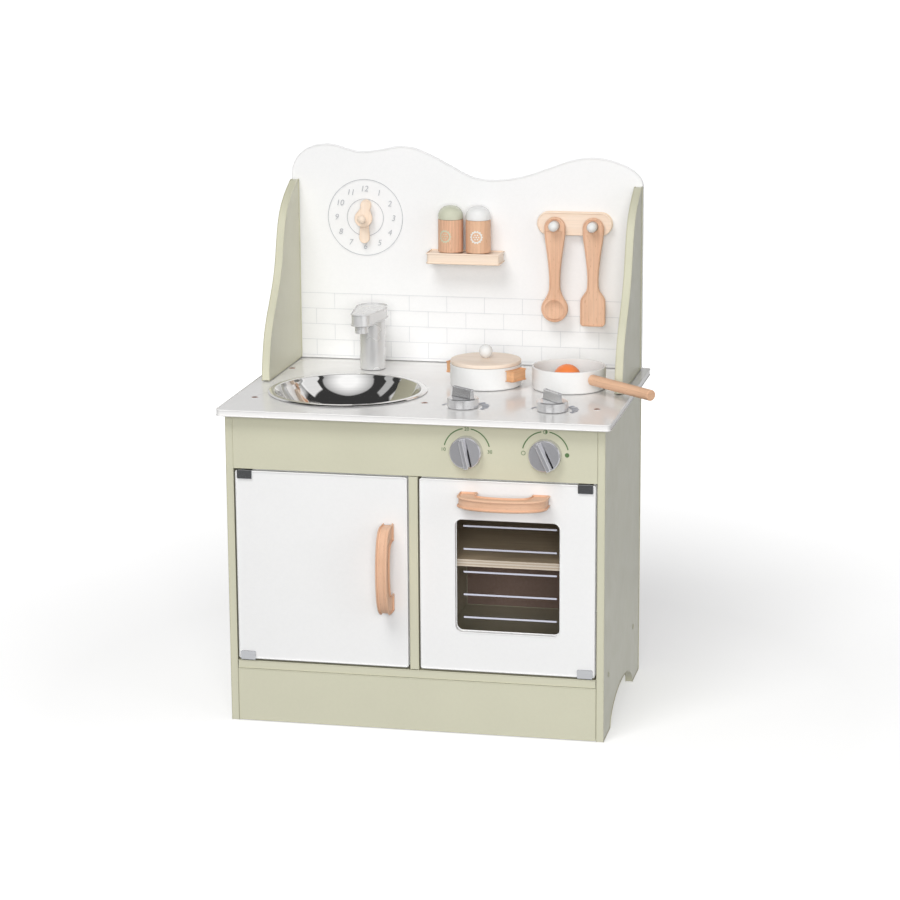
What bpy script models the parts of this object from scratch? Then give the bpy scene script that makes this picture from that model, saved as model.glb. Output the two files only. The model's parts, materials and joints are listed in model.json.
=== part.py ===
# Wooden toy kitchen: cabinet with two doors, countertop with sink, tap and stove
# knobs, splashback with clock, spice shelf and utensil rail, pot, pan and utensils.
#
# Frame used for the dimensions below: X to the right, Y to the back with Y = 0 on the
# cabinet's front edge, Z up from the floor, X = 0 on the cabinet's middle plane.
# Everything hangs on one empty, which shifts this frame so that the world origin is
# on the floor, under the middle of the whole object's box.
import bpy
import bmesh
from math import sin, cos, pi, radians, hypot, atan2, acos, asin
from mathutils import Matrix, Vector

for ob in list(bpy.data.objects):
    bpy.data.objects.remove(ob, do_unlink=True)

MM = 0.001
GAP = 0.3            # clearance between touching pieces, mm

# ---------------------------------------------------------------- dimensions, mm
CAB_W = 500.0        # cabinet outer width
CAB_D = 322.0        # side panel depth
SIDE_T = 10.0        # side panel thickness
TOP_Z = 426.0        # countertop upper face
TOP_T = 9.0          # countertop thickness
TOP_FRONT = 17.0     # countertop overhang at the front
TOP_SIDE = 9.0       # countertop overhang at each side
TOP_BACK_Y = 353.0   # countertop rear edge
TOP_R = 8.0          # countertop corner radius
SIDE_TOP = TOP_Z - TOP_T - GAP
ARCH_C, ARCH_A, ARCH_H = 161.0, 99.0, 35.0     # foot arch: centre, half span, height
FASCIA_Z0 = 345.0
BOARD_Z0, BOARD_Z1 = 73.0, 84.0                # bottom board
DIV_T = 12.0         # centre divider thickness
SHELF_Z0, SHELF_Z1, SHELF_Y0 = 222.5, 232.0, 20.0
BACK_Y0, BACK_T = 316.3, 3.0                   # hardboard back
PLINTH_Z0 = 1.5
INNER = CAB_W / 2 - SIDE_T                     # 240, inner face of a side panel

DOOR_T = 12.0
DOOR_Z0, DOOR_Z1 = 86.5, 342.5
DOOR_X0, DOOR_X1 = 8.0, 238.0                  # free edge, hinge edge (mirrored)
DOOR_R = 3.0
PIVOT_X, PIVOT_Y = 228.5, 6.0                  # door pivot axis (mirrored)
PIN_R, PIN_HOLE_R = 1.5, 1.8
WIN_X0, WIN_X1, WIN_Z0, WIN_Z1, WIN_R = 55.0, 191.5, 139.5, 290.0, 8.5

HANDLE_L, HANDLE_W = 118.0, 15.5
HANDLE_OUT = 46.0                              # reach in front of the door

PANEL_Y0, PANEL_T = 342.0, 11.0                # splashback
PANEL_HW = 246.5
WING_T, WING_TOP = 11.0, 679.0

SINK_X, SINK_Y, SINK_R, SINK_DEPTH = -117.0, 130.0, 106.5, 62.0
TAP_X, TAP_Y, TAP_R, TAP_Z1 = -119.0, 281.0, 17.5, 497.5
TAP_HEAD_H, TAP_TIP_Y = 16.7, 219.0
KNOB_R, KNOB_H, FIN_H, FIN_L, FIN_T = 20.5, 12.5, 12.5, 38.0, 7.8
STOVE_KNOBS = [("stove_knob_left", 54.5, 57.5, -38.0), ("stove_knob_right", 172.0, 57.5, -48.0)]
DIALS = [("oven_dial_left", 71.0, 381.0, -12.0), ("oven_dial_right", 173.5, 381.0, -25.0)]

CLOCK_X, CLOCK_Z = -141.9, 626.8
POT_X, POT_Y, POT_R, POT_H = 56.0, 202.0, 48.0, 29.5
PAN_X, PAN_Y, PAN_R, PAN_H = 169.0, 202.0, 49.5, 29.7
RAIL_X, RAIL_Z, RAIL_W, RAIL_H, RAIL_T = 154.0, 626.4, 104.0, 32.0, 11.0
PEG_X = (128.3, 181.3)
PEG_Z = 625.0

# the whole object's box, which sets the world origin
BOX_X0 = -(CAB_W / 2 + TOP_SIDE)
PAN_HANDLE_END = (296.0, 84.5)
PAN_HANDLE_R = 7.2
BOX_Y0, BOX_Y1 = -HANDLE_OUT, TOP_BACK_Y

# ---------------------------------------------------------------- collections
kitchen = bpy.data.collections.new("toy_kitchen")
cutters = bpy.data.collections.new("cutters")
bpy.context.scene.collection.children.link(kitchen)
bpy.context.scene.collection.children.link(cutters)

root = bpy.data.objects.new("toy_kitchen_origin", None)
kitchen.objects.link(root)


# ---------------------------------------------------------------- materials
def material(name, rgb, rough=0.5, metal=0.0, alpha=1.0):
    m = bpy.data.materials.new(name)
    m.use_nodes = True
    b = m.node_tree.nodes["Principled BSDF"]
    b.inputs["Base Color"].default_value = (*rgb, 1.0)
    b.inputs["Roughness"].default_value = rough
    b.inputs["Metallic"].default_value = metal
    b.inputs["Alpha"].default_value = alpha
    return m


M = {
    "sage": material("sage_paint", (0.60, 0.62, 0.45), 0.5),
    "white": material("white_paint", (0.86, 0.86, 0.85), 0.4),
    "beech": material("beech", (0.78, 0.50, 0.32), 0.55),
    "pale": material("pale_wood", (0.95, 0.79, 0.60), 0.55),
    "steel": material("polished_steel", (0.75, 0.75, 0.75), 0.08, 1.0),
    "silver": material("silver_paint", (0.42, 0.42, 0.44), 0.38, 0.6),
    "acrylic": material("tinted_acrylic", (0.09, 0.08, 0.07), 0.05, 0.0, 0.45),
    "hardboard": material("hardboard", (0.22, 0.12, 0.08), 0.7),
    "ply": material("plywood", (0.78, 0.62, 0.44), 0.6),
    "copper": material("copper_screw", (0.45, 0.22, 0.12), 0.4, 0.8),
    "plastic": material("white_plastic", (0.8, 0.8, 0.8), 0.5),
    "yolk": material("orange_paint", (0.95, 0.26, 0.06), 0.35),
}


# ---------------------------------------------------------------- helpers
def finish(ob, mat, smooth=False):
    ob.data.materials.append(M[mat])
    ob.parent = root
    kitchen.objects.link(ob)
    if smooth:
        ob.data.shade_smooth()
        ob.data.set_sharp_from_angle(angle=radians(35))
    return ob


def box_mesh(name, x0, x1, y0, y1, z0, z1):
    me = bpy.data.meshes.new(name)
    bm = bmesh.new()
    bmesh.ops.create_cube(bm, size=1.0)
    bmesh.ops.scale(bm, vec=((x1 - x0) * MM, (y1 - y0) * MM, (z1 - z0) * MM), verts=bm.verts)
    bm.to_mesh(me)
    bm.free()
    ob = bpy.data.objects.new(name, me)
    ob.location = ((x0 + x1) / 2 * MM, (y0 + y1) / 2 * MM, (z0 + z1) / 2 * MM)
    return ob


def box(name, x0, x1, y0, y1, z0, z1, mat, bevel=0.0, segments=2):
    ob = finish(box_mesh(name, x0, x1, y0, y1, z0, z1), mat)
    if bevel:
        b = ob.modifiers.new("edges", "BEVEL")
        b.width, b.segments = bevel * MM, segments
    return ob


def arc(cx, cy, r, a0, a1, n):
    """Points on a circle from angle a0 to a1, degrees."""
    return [(cx + r * cos(radians(a0 + (a1 - a0) * i / n)),
             cy + r * sin(radians(a0 + (a1 - a0) * i / n))) for i in range(n + 1)]


def rounded(x0, x1, y0, y1, r, n=4):
    """Rectangle outline with round corners, counter-clockwise."""
    return (arc(x1 - r, y0 + r, r, -90, 0, n) + arc(x1 - r, y1 - r, r, 0, 90, n)
            + arc(x0 + r, y1 - r, r, 90, 180, n) + arc(x0 + r, y0 + r, r, 180, 270, n))


def circle(cx, cy, r, n=32):
    return [(cx + r * cos(2 * pi * i / n), cy + r * sin(2 * pi * i / n)) for i in range(n)]


def smooth_line(points, n):
    """Catmull-Rom curve through points, n steps a span."""
    out = []
    p = [points[0]] + list(points) + [points[-1]]
    for i in range(1, len(p) - 2):
        for k in range(n):
            t = k / n
            q = []
            for c in (0, 1):
                a, b, d, e = p[i - 1][c], p[i][c], p[i + 1][c], p[i + 2][c]
                q.append(0.5 * (2 * b + (d - a) * t + (2 * a - 5 * b + 4 * d - e) * t * t
                                + (3 * b - a - 3 * d + e) * t ** 3))
            out.append(tuple(q))
    out.append(tuple(points[-1]))
    return out


PLANES = {"XY": (0.0, 0.0, 0.0), "XZ": (pi / 2, 0.0, 0.0), "YZ": (pi / 2, 0.0, pi / 2)}


def plate_curve(name, outlines, thick, plane, centre):
    """Flat plate from closed outlines (first the outside, then holes)."""
    cu = bpy.data.curves.new(name, "CURVE")
    cu.dimensions = "2D"
    cu.fill_mode = "BOTH"
    cu.extrude = thick / 2 * MM
    for outline in outlines:
        sp = cu.splines.new("POLY")
        sp.points.add(len(outline) - 1)
        for p, (x, y) in zip(sp.points, outline):
            p.co = (x * MM, y * MM, 0.0, 1.0)
        sp.use_cyclic_u = True
    ob = bpy.data.objects.new(name, cu)
    ob.rotation_euler = PLANES[plane]
    ob.location = [c * MM for c in centre]
    return ob


def as_mesh(ob):
    """The same piece as a welded mesh, so that it can be cut."""
    tmp = bpy.data.collections.new("tmp")
    bpy.context.scene.collection.children.link(tmp)
    tmp.objects.link(ob)
    bpy.context.view_layer.update()
    dg = bpy.context.evaluated_depsgraph_get()
    me = bpy.data.meshes.new_from_object(ob.evaluated_get(dg))
    bm = bmesh.new()
    bm.from_mesh(me)
    bmesh.ops.remove_doubles(bm, verts=bm.verts, dist=1e-6)
    bmesh.ops.recalc_face_normals(bm, faces=bm.faces)
    bm.to_mesh(me)
    bm.free()
    name = ob.name
    matrix = ob.matrix_world.copy()
    cu = ob.data
    bpy.data.objects.remove(ob, do_unlink=True)
    bpy.data.curves.remove(cu)
    bpy.data.collections.remove(tmp)
    me.materials.clear()
    new = bpy.data.objects.new(name, me)
    new.matrix_world = matrix
    return new


def plate(name, outlines, thick, plane, centre, mat, mesh=False):
    ob = plate_curve(name, outlines, thick, plane, centre)
    if mesh:
        ob = as_mesh(ob)
    return finish(ob, mat)


def turned_raw(name, profile, centre, rot=(0.0, 0.0, 0.0), steps=32):
    """Solid of revolution: the profile runs down its outer side, top to bottom."""
    me = bpy.data.meshes.new(name)
    me.from_pydata([(r * MM, 0.0, z * MM) for r, z in profile],
                   [(i, i + 1) for i in range(len(profile) - 1)], [])
    ob = bpy.data.objects.new(name, me)
    s = ob.modifiers.new("turn", "SCREW")
    s.axis = "Z"
    s.steps = s.render_steps = steps
    s.use_merge_vertices = True
    s.merge_threshold = 0.00001
    s.use_smooth_shade = True
    ob.location = [c * MM for c in centre]
    ob.rotation_euler = rot
    return ob


def turned(name, profile, centre, mat, rot=(0.0, 0.0, 0.0), steps=32):
    return finish(turned_raw(name, profile, centre, rot, steps), mat)


def tool(ob):
    """A cutter or a shape to be joined: kept, but not part of the object."""
    cutters.objects.link(ob)
    ob.parent = root
    ob.hide_render = True
    ob.display_type = "WIRE"
    return ob


def boolean(ob, other, op):
    b = ob.modifiers.new(op.lower() + "_" + other.name, "BOOLEAN")
    b.operation = op
    b.solver = "EXACT"
    b.object = other


FRONT = (pi / 2, 0.0, 0.0)      # turns +Z of a turned piece to -Y, out of the front

# ---------------------------------------------------------------- cabinet frame
foot = [(0.0, 0.0), (ARCH_C - ARCH_A, 0.0)]
foot += [(ARCH_C - ARCH_A * cos(pi * i / 22), ARCH_H * sin(pi * i / 22)) for i in range(1, 22)]
foot += [(ARCH_C + ARCH_A, 0.0), (CAB_D, 0.0), (CAB_D, SIDE_TOP), (0.0, SIDE_TOP)]
for side, name in ((-1, "side_panel_left"), (1, "side_panel_right")):
    plate(name, [foot], SIDE_T, "YZ", (side * (CAB_W / 2 - SIDE_T / 2), 0, 0), "sage")

IN = INNER - GAP
bottom_board = box("bottom_board", -IN, IN, 0, BACK_Y0 - GAP, BOARD_Z0, BOARD_Z1, "sage")
box("plinth_board", -IN, IN, 0, 10, PLINTH_Z0, BOARD_Z0 - GAP, "sage")
fascia = box("fascia_board", -IN, IN, 0, 10, FASCIA_Z0, SIDE_TOP, "sage")
div = [(0.0, BOARD_Z1 + GAP), (BACK_Y0 - GAP, BOARD_Z1 + GAP), (BACK_Y0 - GAP, SIDE_TOP),
       (10.0 + GAP, SIDE_TOP), (10.0 + GAP, FASCIA_Z0 - GAP), (0.0, FASCIA_Z0 - GAP)]
divider = plate("center_divider", [div], DIV_T, "YZ", (0, 0, 0), "sage", mesh=True)
box("back_board", -IN, IN, BACK_Y0, BACK_Y0 + BACK_T, 60, SIDE_TOP, "hardboard")
box("oven_shelf", DIV_T / 2 + GAP, IN, SHELF_Y0, BACK_Y0 - GAP, SHELF_Z0, SHELF_Z1, "ply")

# screws through the countertop, into the cleats and the divider
SCREWS = [("countertop_screw_1", -228.0, 67.0), ("countertop_screw_2", -229.0, 262.0),
          ("countertop_screw_3", 0.0, 73.0), ("countertop_screw_4", 227.0, 75.0),
          ("countertop_screw_5", 228.0, 262.0)]
for name, x0, x1, xs in (("cleat_left", -IN, -IN + 20, (0, 1)), ("cleat_right", IN - 20, IN, (3, 4))):
    holes = [circle(SCREWS[i][1], SCREWS[i][2], 2.4, 12) for i in xs]
    rect = [(x0, 20), (x1, 20), (x1, 300), (x0, 300)]
    plate(name, [rect] + holes, 20.0, "XY", (0, 0, SIDE_TOP - 10), "ply")
hole = tool(turned_raw("divider_screw_hole", [(0, 1), (2.4, 1), (2.4, -17), (0, -17)],
                       (SCREWS[2][1], SCREWS[2][2], SIDE_TOP), steps=12))
boolean(divider, hole, "DIFFERENCE")
SCREW_PROFILE = [(0, 0.1), (4.1, 0.1), (4.25, -0.9), (2.0, -3.4), (2.0, -22.5), (0, -24.0)]
for name, x, y in SCREWS:
    turned(name, SCREW_PROFILE, (x, y, TOP_Z), "copper", steps=12)

# ---------------------------------------------------------------- countertop and sink
top_outline = rounded(-(CAB_W / 2 + TOP_SIDE), CAB_W / 2 + TOP_SIDE, -TOP_FRONT, TOP_BACK_Y, TOP_R, 5)
top_holes = [circle(SINK_X, SINK_Y, 99.5, 56)] + [circle(x, y, 4.6, 12) for _, x, y in SCREWS]
plate("countertop", [top_outline] + top_holes, TOP_T, "XY", (0, 0, TOP_Z - TOP_T / 2), "white")

BOWL_R = 96.0                                     # inside, at the rim
BOWL_BALL = (BOWL_R ** 2 + (SINK_DEPTH - 0.8) ** 2) / (2 * (SINK_DEPTH - 0.8))     # radius of the ball it is part of
bowl_edge = asin(BOWL_R / BOWL_BALL)
bowl_in = [(0, -SINK_DEPTH + 0.8)]
bowl_in += [(BOWL_BALL * sin(bowl_edge * k / 8), -SINK_DEPTH + 0.8 + BOWL_BALL * (1 - cos(bowl_edge * k / 8))) for k in range(1, 8)]
bowl_in += [(95.6, -1.0)]
rim = [(96.4, 0.2), (97.6, 1.8), (99.5, 2.6), (104.0, 2.4), (106.0, 1.6), (SINK_R, 0.9), (SINK_R, 0.4)]
under = [(105.5, 0.4), (104.5, 1.2), (99.8, 1.6), (98.4, 0.8)]
bowl_out = [(r + 0.9, z - 0.9) for r, z in reversed(bowl_in[1:])] + [(0, -SINK_DEPTH - 0.2)]
turned("sink_bowl", bowl_in + rim + under + bowl_out, (SINK_X, SINK_Y, TOP_Z), "steel", steps=48)

# ---------------------------------------------------------------- tap
turned("faucet_column", [(0, TAP_Z1 - GAP), (TAP_R, TAP_Z1 - GAP), (TAP_R, TOP_Z + GAP), (0, TOP_Z + GAP)],
       (TAP_X, TAP_Y, 0), "silver", steps=32)
BIG, SMALL = 22.0, 14.8
reach = TAP_Y - TAP_TIP_Y
lean = acos((BIG - SMALL) / reach) * 180 / pi     # angle to the tangent points
head_outline = (arc(0, 0, BIG, -90 + lean, 270 - lean, 20)
                + arc(0, -reach, SMALL, 270 - lean, 270 + lean, 14))
faucet_head = plate("faucet_head", [head_outline], TAP_HEAD_H, "XY", (TAP_X, TAP_Y, TAP_Z1 + TAP_HEAD_H / 2),
                    "silver", mesh=True)
nozzle = tool(turned_raw("nozzle", [(0, 1), (9, 1), (9, -10.5), (6.5, -10.5), (6.5, -6), (0, -6)],
                         (TAP_X, TAP_TIP_Y, TAP_Z1), steps=24))
boolean(faucet_head, nozzle, "UNION")


# ---------------------------------------------------------------- knobs
def knob(name, centre, rot, turn):
    ob = turned_raw(name, [(0, KNOB_H), (KNOB_R - 1.2, KNOB_H), (KNOB_R, KNOB_H - 1.2),
                           (KNOB_R, 0.8), (KNOB_R - 0.6, 0), (0, 0)], centre, rot, 32)
    finish(ob, "silver")
    fin = box_mesh(name + "_fin", -FIN_L / 2, FIN_L / 2, -FIN_T / 2, FIN_T / 2, -3, FIN_H)
    hold = Matrix.Translation([c * MM for c in centre]) @ ob.rotation_euler.to_matrix().to_4x4()
    fin.matrix_world = (hold @ Matrix.Rotation(radians(turn), 4, "Z")
                        @ Matrix.Translation((0, 0, (KNOB_H + (FIN_H - 3) / 2) * MM)))
    tool(fin)
    boolean(ob, fin, "UNION")
    return ob


for name, x, y, turn in STOVE_KNOBS:
    knob(name, (x, y, TOP_Z + GAP), (0, 0, 0), turn)
for name, x, z, turn in DIALS:
    knob(name, (x, -GAP, z), FRONT, 90 - turn)

# ---------------------------------------------------------------- doors
def handle_outline():
    """Bow handle from the side: along its length, and out from the door."""
    h = HANDLE_L / 2
    outer = [(h, GAP), (h, 20.0), (h - 1.8, 26.0), (h - 7.0, 33.0), (h - 17.0, 38.8),
             (h - 33.0, 43.6), (h - 48.0, 45.6)]
    mid = [(0.0, HANDLE_OUT)]
    inner = [(13.0, 23.6), (24.0, 21.6), (31.0, 18.6), (34.2, 13.5), (35.0, 8.0), (35.0, GAP)]
    left = [(-x, y) for x, y in reversed(outer)]
    back = [(-x, y) for x, y in reversed(inner)]
    return outer + mid + left + back + [(0.0, 24.2)] + inner


bow = handle_outline()
# cupboard door, hinged on the left
plate("cupboard_door", [rounded(-DOOR_X1, -DOOR_X0, DOOR_Z0, DOOR_Z1, DOOR_R, 3)], DOOR_T, "XZ",
      (0, DOOR_T / 2, 0), "white")
plate("cupboard_handle", [[(-y, z) for z, y in reversed(bow)]], HANDLE_W, "YZ",
      (-33.3, 0, 222.0), "beech")
# oven door, hinged on the right, with a window opening
plate("oven_door", [rounded(DOOR_X0, DOOR_X1, DOOR_Z0, DOOR_Z1, DOOR_R, 3),
                    rounded(WIN_X0, WIN_X1, WIN_Z0, WIN_Z1, WIN_R, 5)], DOOR_T, "XZ",
      (0, DOOR_T / 2, 0), "white")
plate("oven_handle", [[(x, -y) for x, y in reversed(bow)]], HANDLE_W, "XY", (120.7, 0, 320.3), "beech")
box("oven_window", WIN_X0 - 10, WIN_X1 + 10, DOOR_T + GAP, DOOR_T + GAP + 2.0, WIN_Z0 - 10, WIN_Z1 + 10, "acrylic")

# corner pivots: an L-shaped metal clip on the door, with a pin into the cabinet
for name, side, up in (("cupboard_hinge_top", -1, 1), ("cupboard_hinge_bottom", -1, -1),
                       ("oven_hinge_top", 1, 1), ("oven_hinge_bottom", 1, -1)):
    edge = DOOR_Z1 if up > 0 else DOOR_Z0
    ell = [(-1.2, -11.0), (-0.3, -11.0), (-0.3, 0.3), (10.5, 0.3), (10.5, 1.1), (-1.2, 1.1)]
    if up < 0:
        ell = [(y, -z) for y, z in reversed(ell)]
    clip = plate(name, [ell], 20.0, "YZ", (side * 225.0, 0, edge), "steel", mesh=True)
    z0, z1 = (edge + 0.7, edge + 6.0) if up > 0 else (edge - 6.0, edge - 0.7)
    pin = tool(turned_raw(name + "_pin", [(0, z1), (PIN_R, z1), (PIN_R, z0), (0, z0)],
                          (side * PIVOT_X, PIVOT_Y, 0), steps=12))
    boolean(clip, pin, "UNION")
    board = fascia if up > 0 else bottom_board
    face = FASCIA_Z0 if up > 0 else BOARD_Z1
    z0, z1 = (face - 1, face + 5.5) if up > 0 else (face - 5.5, face + 1)
    drill = tool(turned_raw(name + "_hole", [(0, z1), (PIN_HOLE_R, z1), (PIN_HOLE_R, z0), (0, z0)],
                            (side * PIVOT_X, PIVOT_Y, 0), steps=12))
    boolean(board, drill, "DIFFERENCE")

# magnetic catches on the divider, behind each door's free edge
box("cupboard_catch", -DIV_T / 2 - GAP - 11, -DIV_T / 2 - GAP, 13, 26, 296, 322, "plastic")
box("oven_catch", DIV_T / 2 + GAP, DIV_T / 2 + GAP + 11, 13, 26, 296, 322, "plastic")

# ---------------------------------------------------------------- splashback and wings
WAVE = [(-PANEL_HW, 684), (-245.0, 697), (-236.5, 712), (-222, 723), (-202, 727.8), (-184, 726.8),
        (-165, 721.2), (-145, 718.2), (-120, 721.6), (-97, 726), (-80, 725.8), (-66, 722.6),
        (-44, 713.2), (-22, 701.8), (2, 689.2), (22, 683.6), (43, 682.6), (71, 686.2), (94, 692.4),
        (117, 701), (140, 709.4), (161, 714.4), (179, 715.8), (198, 713.8), (218, 707.4),
        (231, 701), (240.5, 692.8), (245.5, 684.5), (PANEL_HW, 677)]
panel = smooth_line(WAVE, 2)
panel_outline = [(-PANEL_HW, TOP_Z + GAP), (PANEL_HW, TOP_Z + GAP)] + list(reversed(panel))
plate("splashback_panel", [panel_outline], PANEL_T, "XZ", (0, PANEL_Y0 + PANEL_T / 2, 0), "white")

WING_EDGE = [(166.5, TOP_Z + GAP), (168.5, 445), (173.0, 464), (181.0, 486), (194.5, 508), (212.0, 529),
             (230.0, 552), (243.0, 576), (252.0, 603), (262.5, 629), (278.0, 649), (302.0, 665.5), (331.0, WING_TOP)]
wing_outline = smooth_line(WING_EDGE, 2) + [(PANEL_Y0 - GAP, WING_TOP), (PANEL_Y0 - GAP, TOP_Z + GAP)]
for side, name in ((-1, "wing_left"), (1, "wing_right")):
    plate(name, [list(reversed(wing_outline))], WING_T, "YZ", (side * (PANEL_HW - WING_T / 2), 0, 0), "sage")

# ---------------------------------------------------------------- clock
def hand_outline(length, hub, width, tip):
    """Clock hand pointing along +Y: a round hub, a waist and a round tip."""
    return (arc(0, 0, hub, 125, 415, 14)
            + [(width * 0.42, hub * 1.15), (width * 0.5, length - tip * 1.4)]
            + arc(0, length - tip, tip, 20, 160, 6)
            + [(-width * 0.5, length - tip * 1.4), (-width * 0.42, hub * 1.15)])


for name, y, length, turn in (("clock_minute_hand", 336.4, 35.4, 180.0), ("clock_hour_hand", 330.9, 26.8, -11.4)):
    outline = hand_outline(length, 12.3 if turn < 0 else 11.0, 14.5 if turn < 0 else 13.0, 7.3 if turn < 0 else 7.0)
    a = radians(turn)
    outline = [(x * cos(a) - z * sin(a), x * sin(a) + z * cos(a)) for x, z in outline]
    plate(name, [outline, circle(0, 0, 2.9, 12)], 5.0, "XZ", (CLOCK_X, y, CLOCK_Z), "pale")
# dowel with a ball end, its foot on the panel
turned("clock_peg", [(0, 27.2)] + [(5.8 * sin(radians(a)), 21.4 + 5.8 * cos(radians(a))) for a in (20, 40, 60, 80, 100, 120, 140)]
       + [(2.6, 16.6), (2.6, 0), (0, 0)], (CLOCK_X, PANEL_Y0 - GAP, CLOCK_Z), "pale", FRONT, 20)

# ---------------------------------------------------------------- spice shelf and shakers
SHELF_Y0S = 303.7
shelf_outline = (arc(-43.7, SHELF_Y0S + 5, 5, 180, 270, 4) + arc(50.5, SHELF_Y0S + 5, 5, 270, 360, 4)
                 + [(55.5, PANEL_Y0 - GAP), (-48.7, PANEL_Y0 - GAP)])
plate("spice_shelf", [shelf_outline], 15.5, "XY", (0, 0, 577.7), "pale")
SH = 585.8
for who, x, cap in (("pepper", -16.6, "sage"), ("salt", 22.1, "white")):
    turned(who + "_body", [(0, 631 - GAP), (17.25, 631 - GAP), (17.25, SH + 1), (16.5, SH), (0, SH)], (x, 322, 0), "beech", steps=28)
    dome = [(0, 649.5)] + [(17.25 * sin(radians(a)) ** 0.85, 634.5 + 15.0 * cos(radians(a))) for a in (15, 30, 45, 60, 75, 90)]
    turned(who + "_cap", dome + [(17.25, 631), (0, 631)], (x, 322, 0), cap, steps=28)

# ---------------------------------------------------------------- utensil rail
half = RAIL_W / 2 - RAIL_H / 2
stadium = arc(RAIL_X + half, RAIL_Z, RAIL_H / 2, -90, 90, 10) + arc(RAIL_X - half, RAIL_Z, RAIL_H / 2, 90, 270, 10)
plate("utensil_rail", [stadium], RAIL_T, "XZ", (0, PANEL_Y0 - GAP - RAIL_T / 2, 0), "pale")
RAIL_FACE = PANEL_Y0 - GAP - RAIL_T
PEG = [(0, 26.4), (2.8, 25.8), (5.0, 24.3), (6.5, 21.9), (7.0, 19.4), (7.0, 0.3), (0, 0.3)]
for name, x in zip(("rail_peg_left", "rail_peg_right"), PEG_X):
    turned(name, PEG, (x, RAIL_FACE, PEG_Z), "white", FRONT, 20)

U_T = 8.0                      # utensil thickness
U_Y = 324.0                    # middle plane of the hanging utensils
HEAD_Z = 622.0


# spoon: round head, slim neck, round bowl with a hollow
bowl_z, bowl_r = 509.5, 18.4
half_side = smooth_line([(14.4, HEAD_Z - 1), (13.6, 608), (11.2, 590), (8.9, 572), (7.6, 556), (7.3, 544), (8.2, 534),
                         (11.6, 526), (15.2, 520.5)], 2)
spoon_outline = (arc(0, HEAD_Z, 14.4, 0, 180, 12) + [(-x, z) for x, z in half_side]
                 + arc(0, bowl_z, bowl_r, 146, 394, 18)
                 + list(reversed(half_side)))
spoon_outline = [(x + PEG_X[0], z) for x, z in spoon_outline[:12 + 1]] + [(x + PEG_X[0], z) for x, z in spoon_outline[14:-1]]
spoon = plate("spoon", [spoon_outline, circle(PEG_X[0], PEG_Z, 7.35, 20)], U_T, "XZ", (0, U_Y, 0), "beech", mesh=True)
scoop = tool(turned_raw("spoon_hollow", [(0, 18)] + [(18 * sin(radians(a)), 18 * cos(radians(a))) for a in range(15, 180, 15)] + [(0, -18)],
                        (PEG_X[0], U_Y - U_T / 2 - 12.4, bowl_z), steps=24))
boolean(spoon, scoop, "DIFFERENCE")

# spatula: round head, slim neck, square blade
side_line = smooth_line([(14.4, HEAD_Z - 1), (13.6, 608), (11.0, 590), (8.8, 572), (7.6, 558), (7.4, 546), (8.6, 537),
                         (12.8, 530.5), (16.6, 524.5), (17.2, 517)], 2)
spatula_outline = (arc(0, HEAD_Z, 14.4, 0, 180, 12)[:-1] + [(-14.4, HEAD_Z)] + [(-x, z) for x, z in side_line[1:]]
                   + arc(-12.2, 491.8, 5, 180, 270, 4) + arc(12.2, 491.8, 5, 270, 360, 4)
                   + list(reversed(side_line[1:])))
spatula_outline = [(x + PEG_X[1], z) for x, z in spatula_outline]
plate("spatula", [spatula_outline, circle(PEG_X[1], PEG_Z, 7.35, 20)], U_T, "XZ", (0, U_Y, 0), "beech")

# ---------------------------------------------------------------- pot with lid
Z0 = TOP_Z + GAP
Z1 = Z0 + POT_H
turned("pot_body", [(0, Z0 + 3), (POT_R - 3.4, Z0 + 3), (POT_R - 2.8, Z0 + 4), (POT_R - 2.8, Z1), (POT_R - 0.4, Z1),
                    (POT_R, Z1 - 0.5), (POT_R, Z0 + 2.5), (POT_R - 2.2, Z0), (0, Z0)], (POT_X, POT_Y, 0), "white", steps=44)
LID_R = 47.6
turned("pot_lid", [(0, Z1 + 6.6), (38, Z1 + 6.4), (LID_R - 3, Z1 + 5.2), (LID_R, Z1 + 3.0), (LID_R - 0.5, Z1 + GAP), (43.6, Z1 + GAP),
                   (43.2, Z1 - 3), (0, Z1 - 3)], (POT_X, POT_Y, 0), "pale", steps=44)
KB = Z1 + 6.9
turned("lid_knob", [(0, KB + 18.0)] + [(9.1 * sin(radians(a)), KB + 8.9 + 9.1 * cos(radians(a))) for a in (20, 40, 60, 80, 100, 120, 140, 152)]
       + [(0, KB)], (POT_X, POT_Y, 0), "white", steps=24)
for name, ang in (("pot_handle_right", -28.0), ("pot_handle_left", 152.0)):
    # a beech block whose inner face follows the pot's wall
    inner_arc = arc(0, 0, POT_R + GAP, -17.5, 17.5, 8)
    outline = [(POT_R + 8.5, -15.8), (POT_R + 11.0, -13.0), (POT_R + 11.0, 13.0), (POT_R + 8.5, 15.8)] + list(reversed(inner_arc))
    a = radians(ang)
    outline = [(x * cos(a) - y * sin(a), x * sin(a) + y * cos(a)) for x, y in outline]
    plate(name, [outline], 15.0, "XY", (POT_X, POT_Y, 445.5), "beech")

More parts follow.
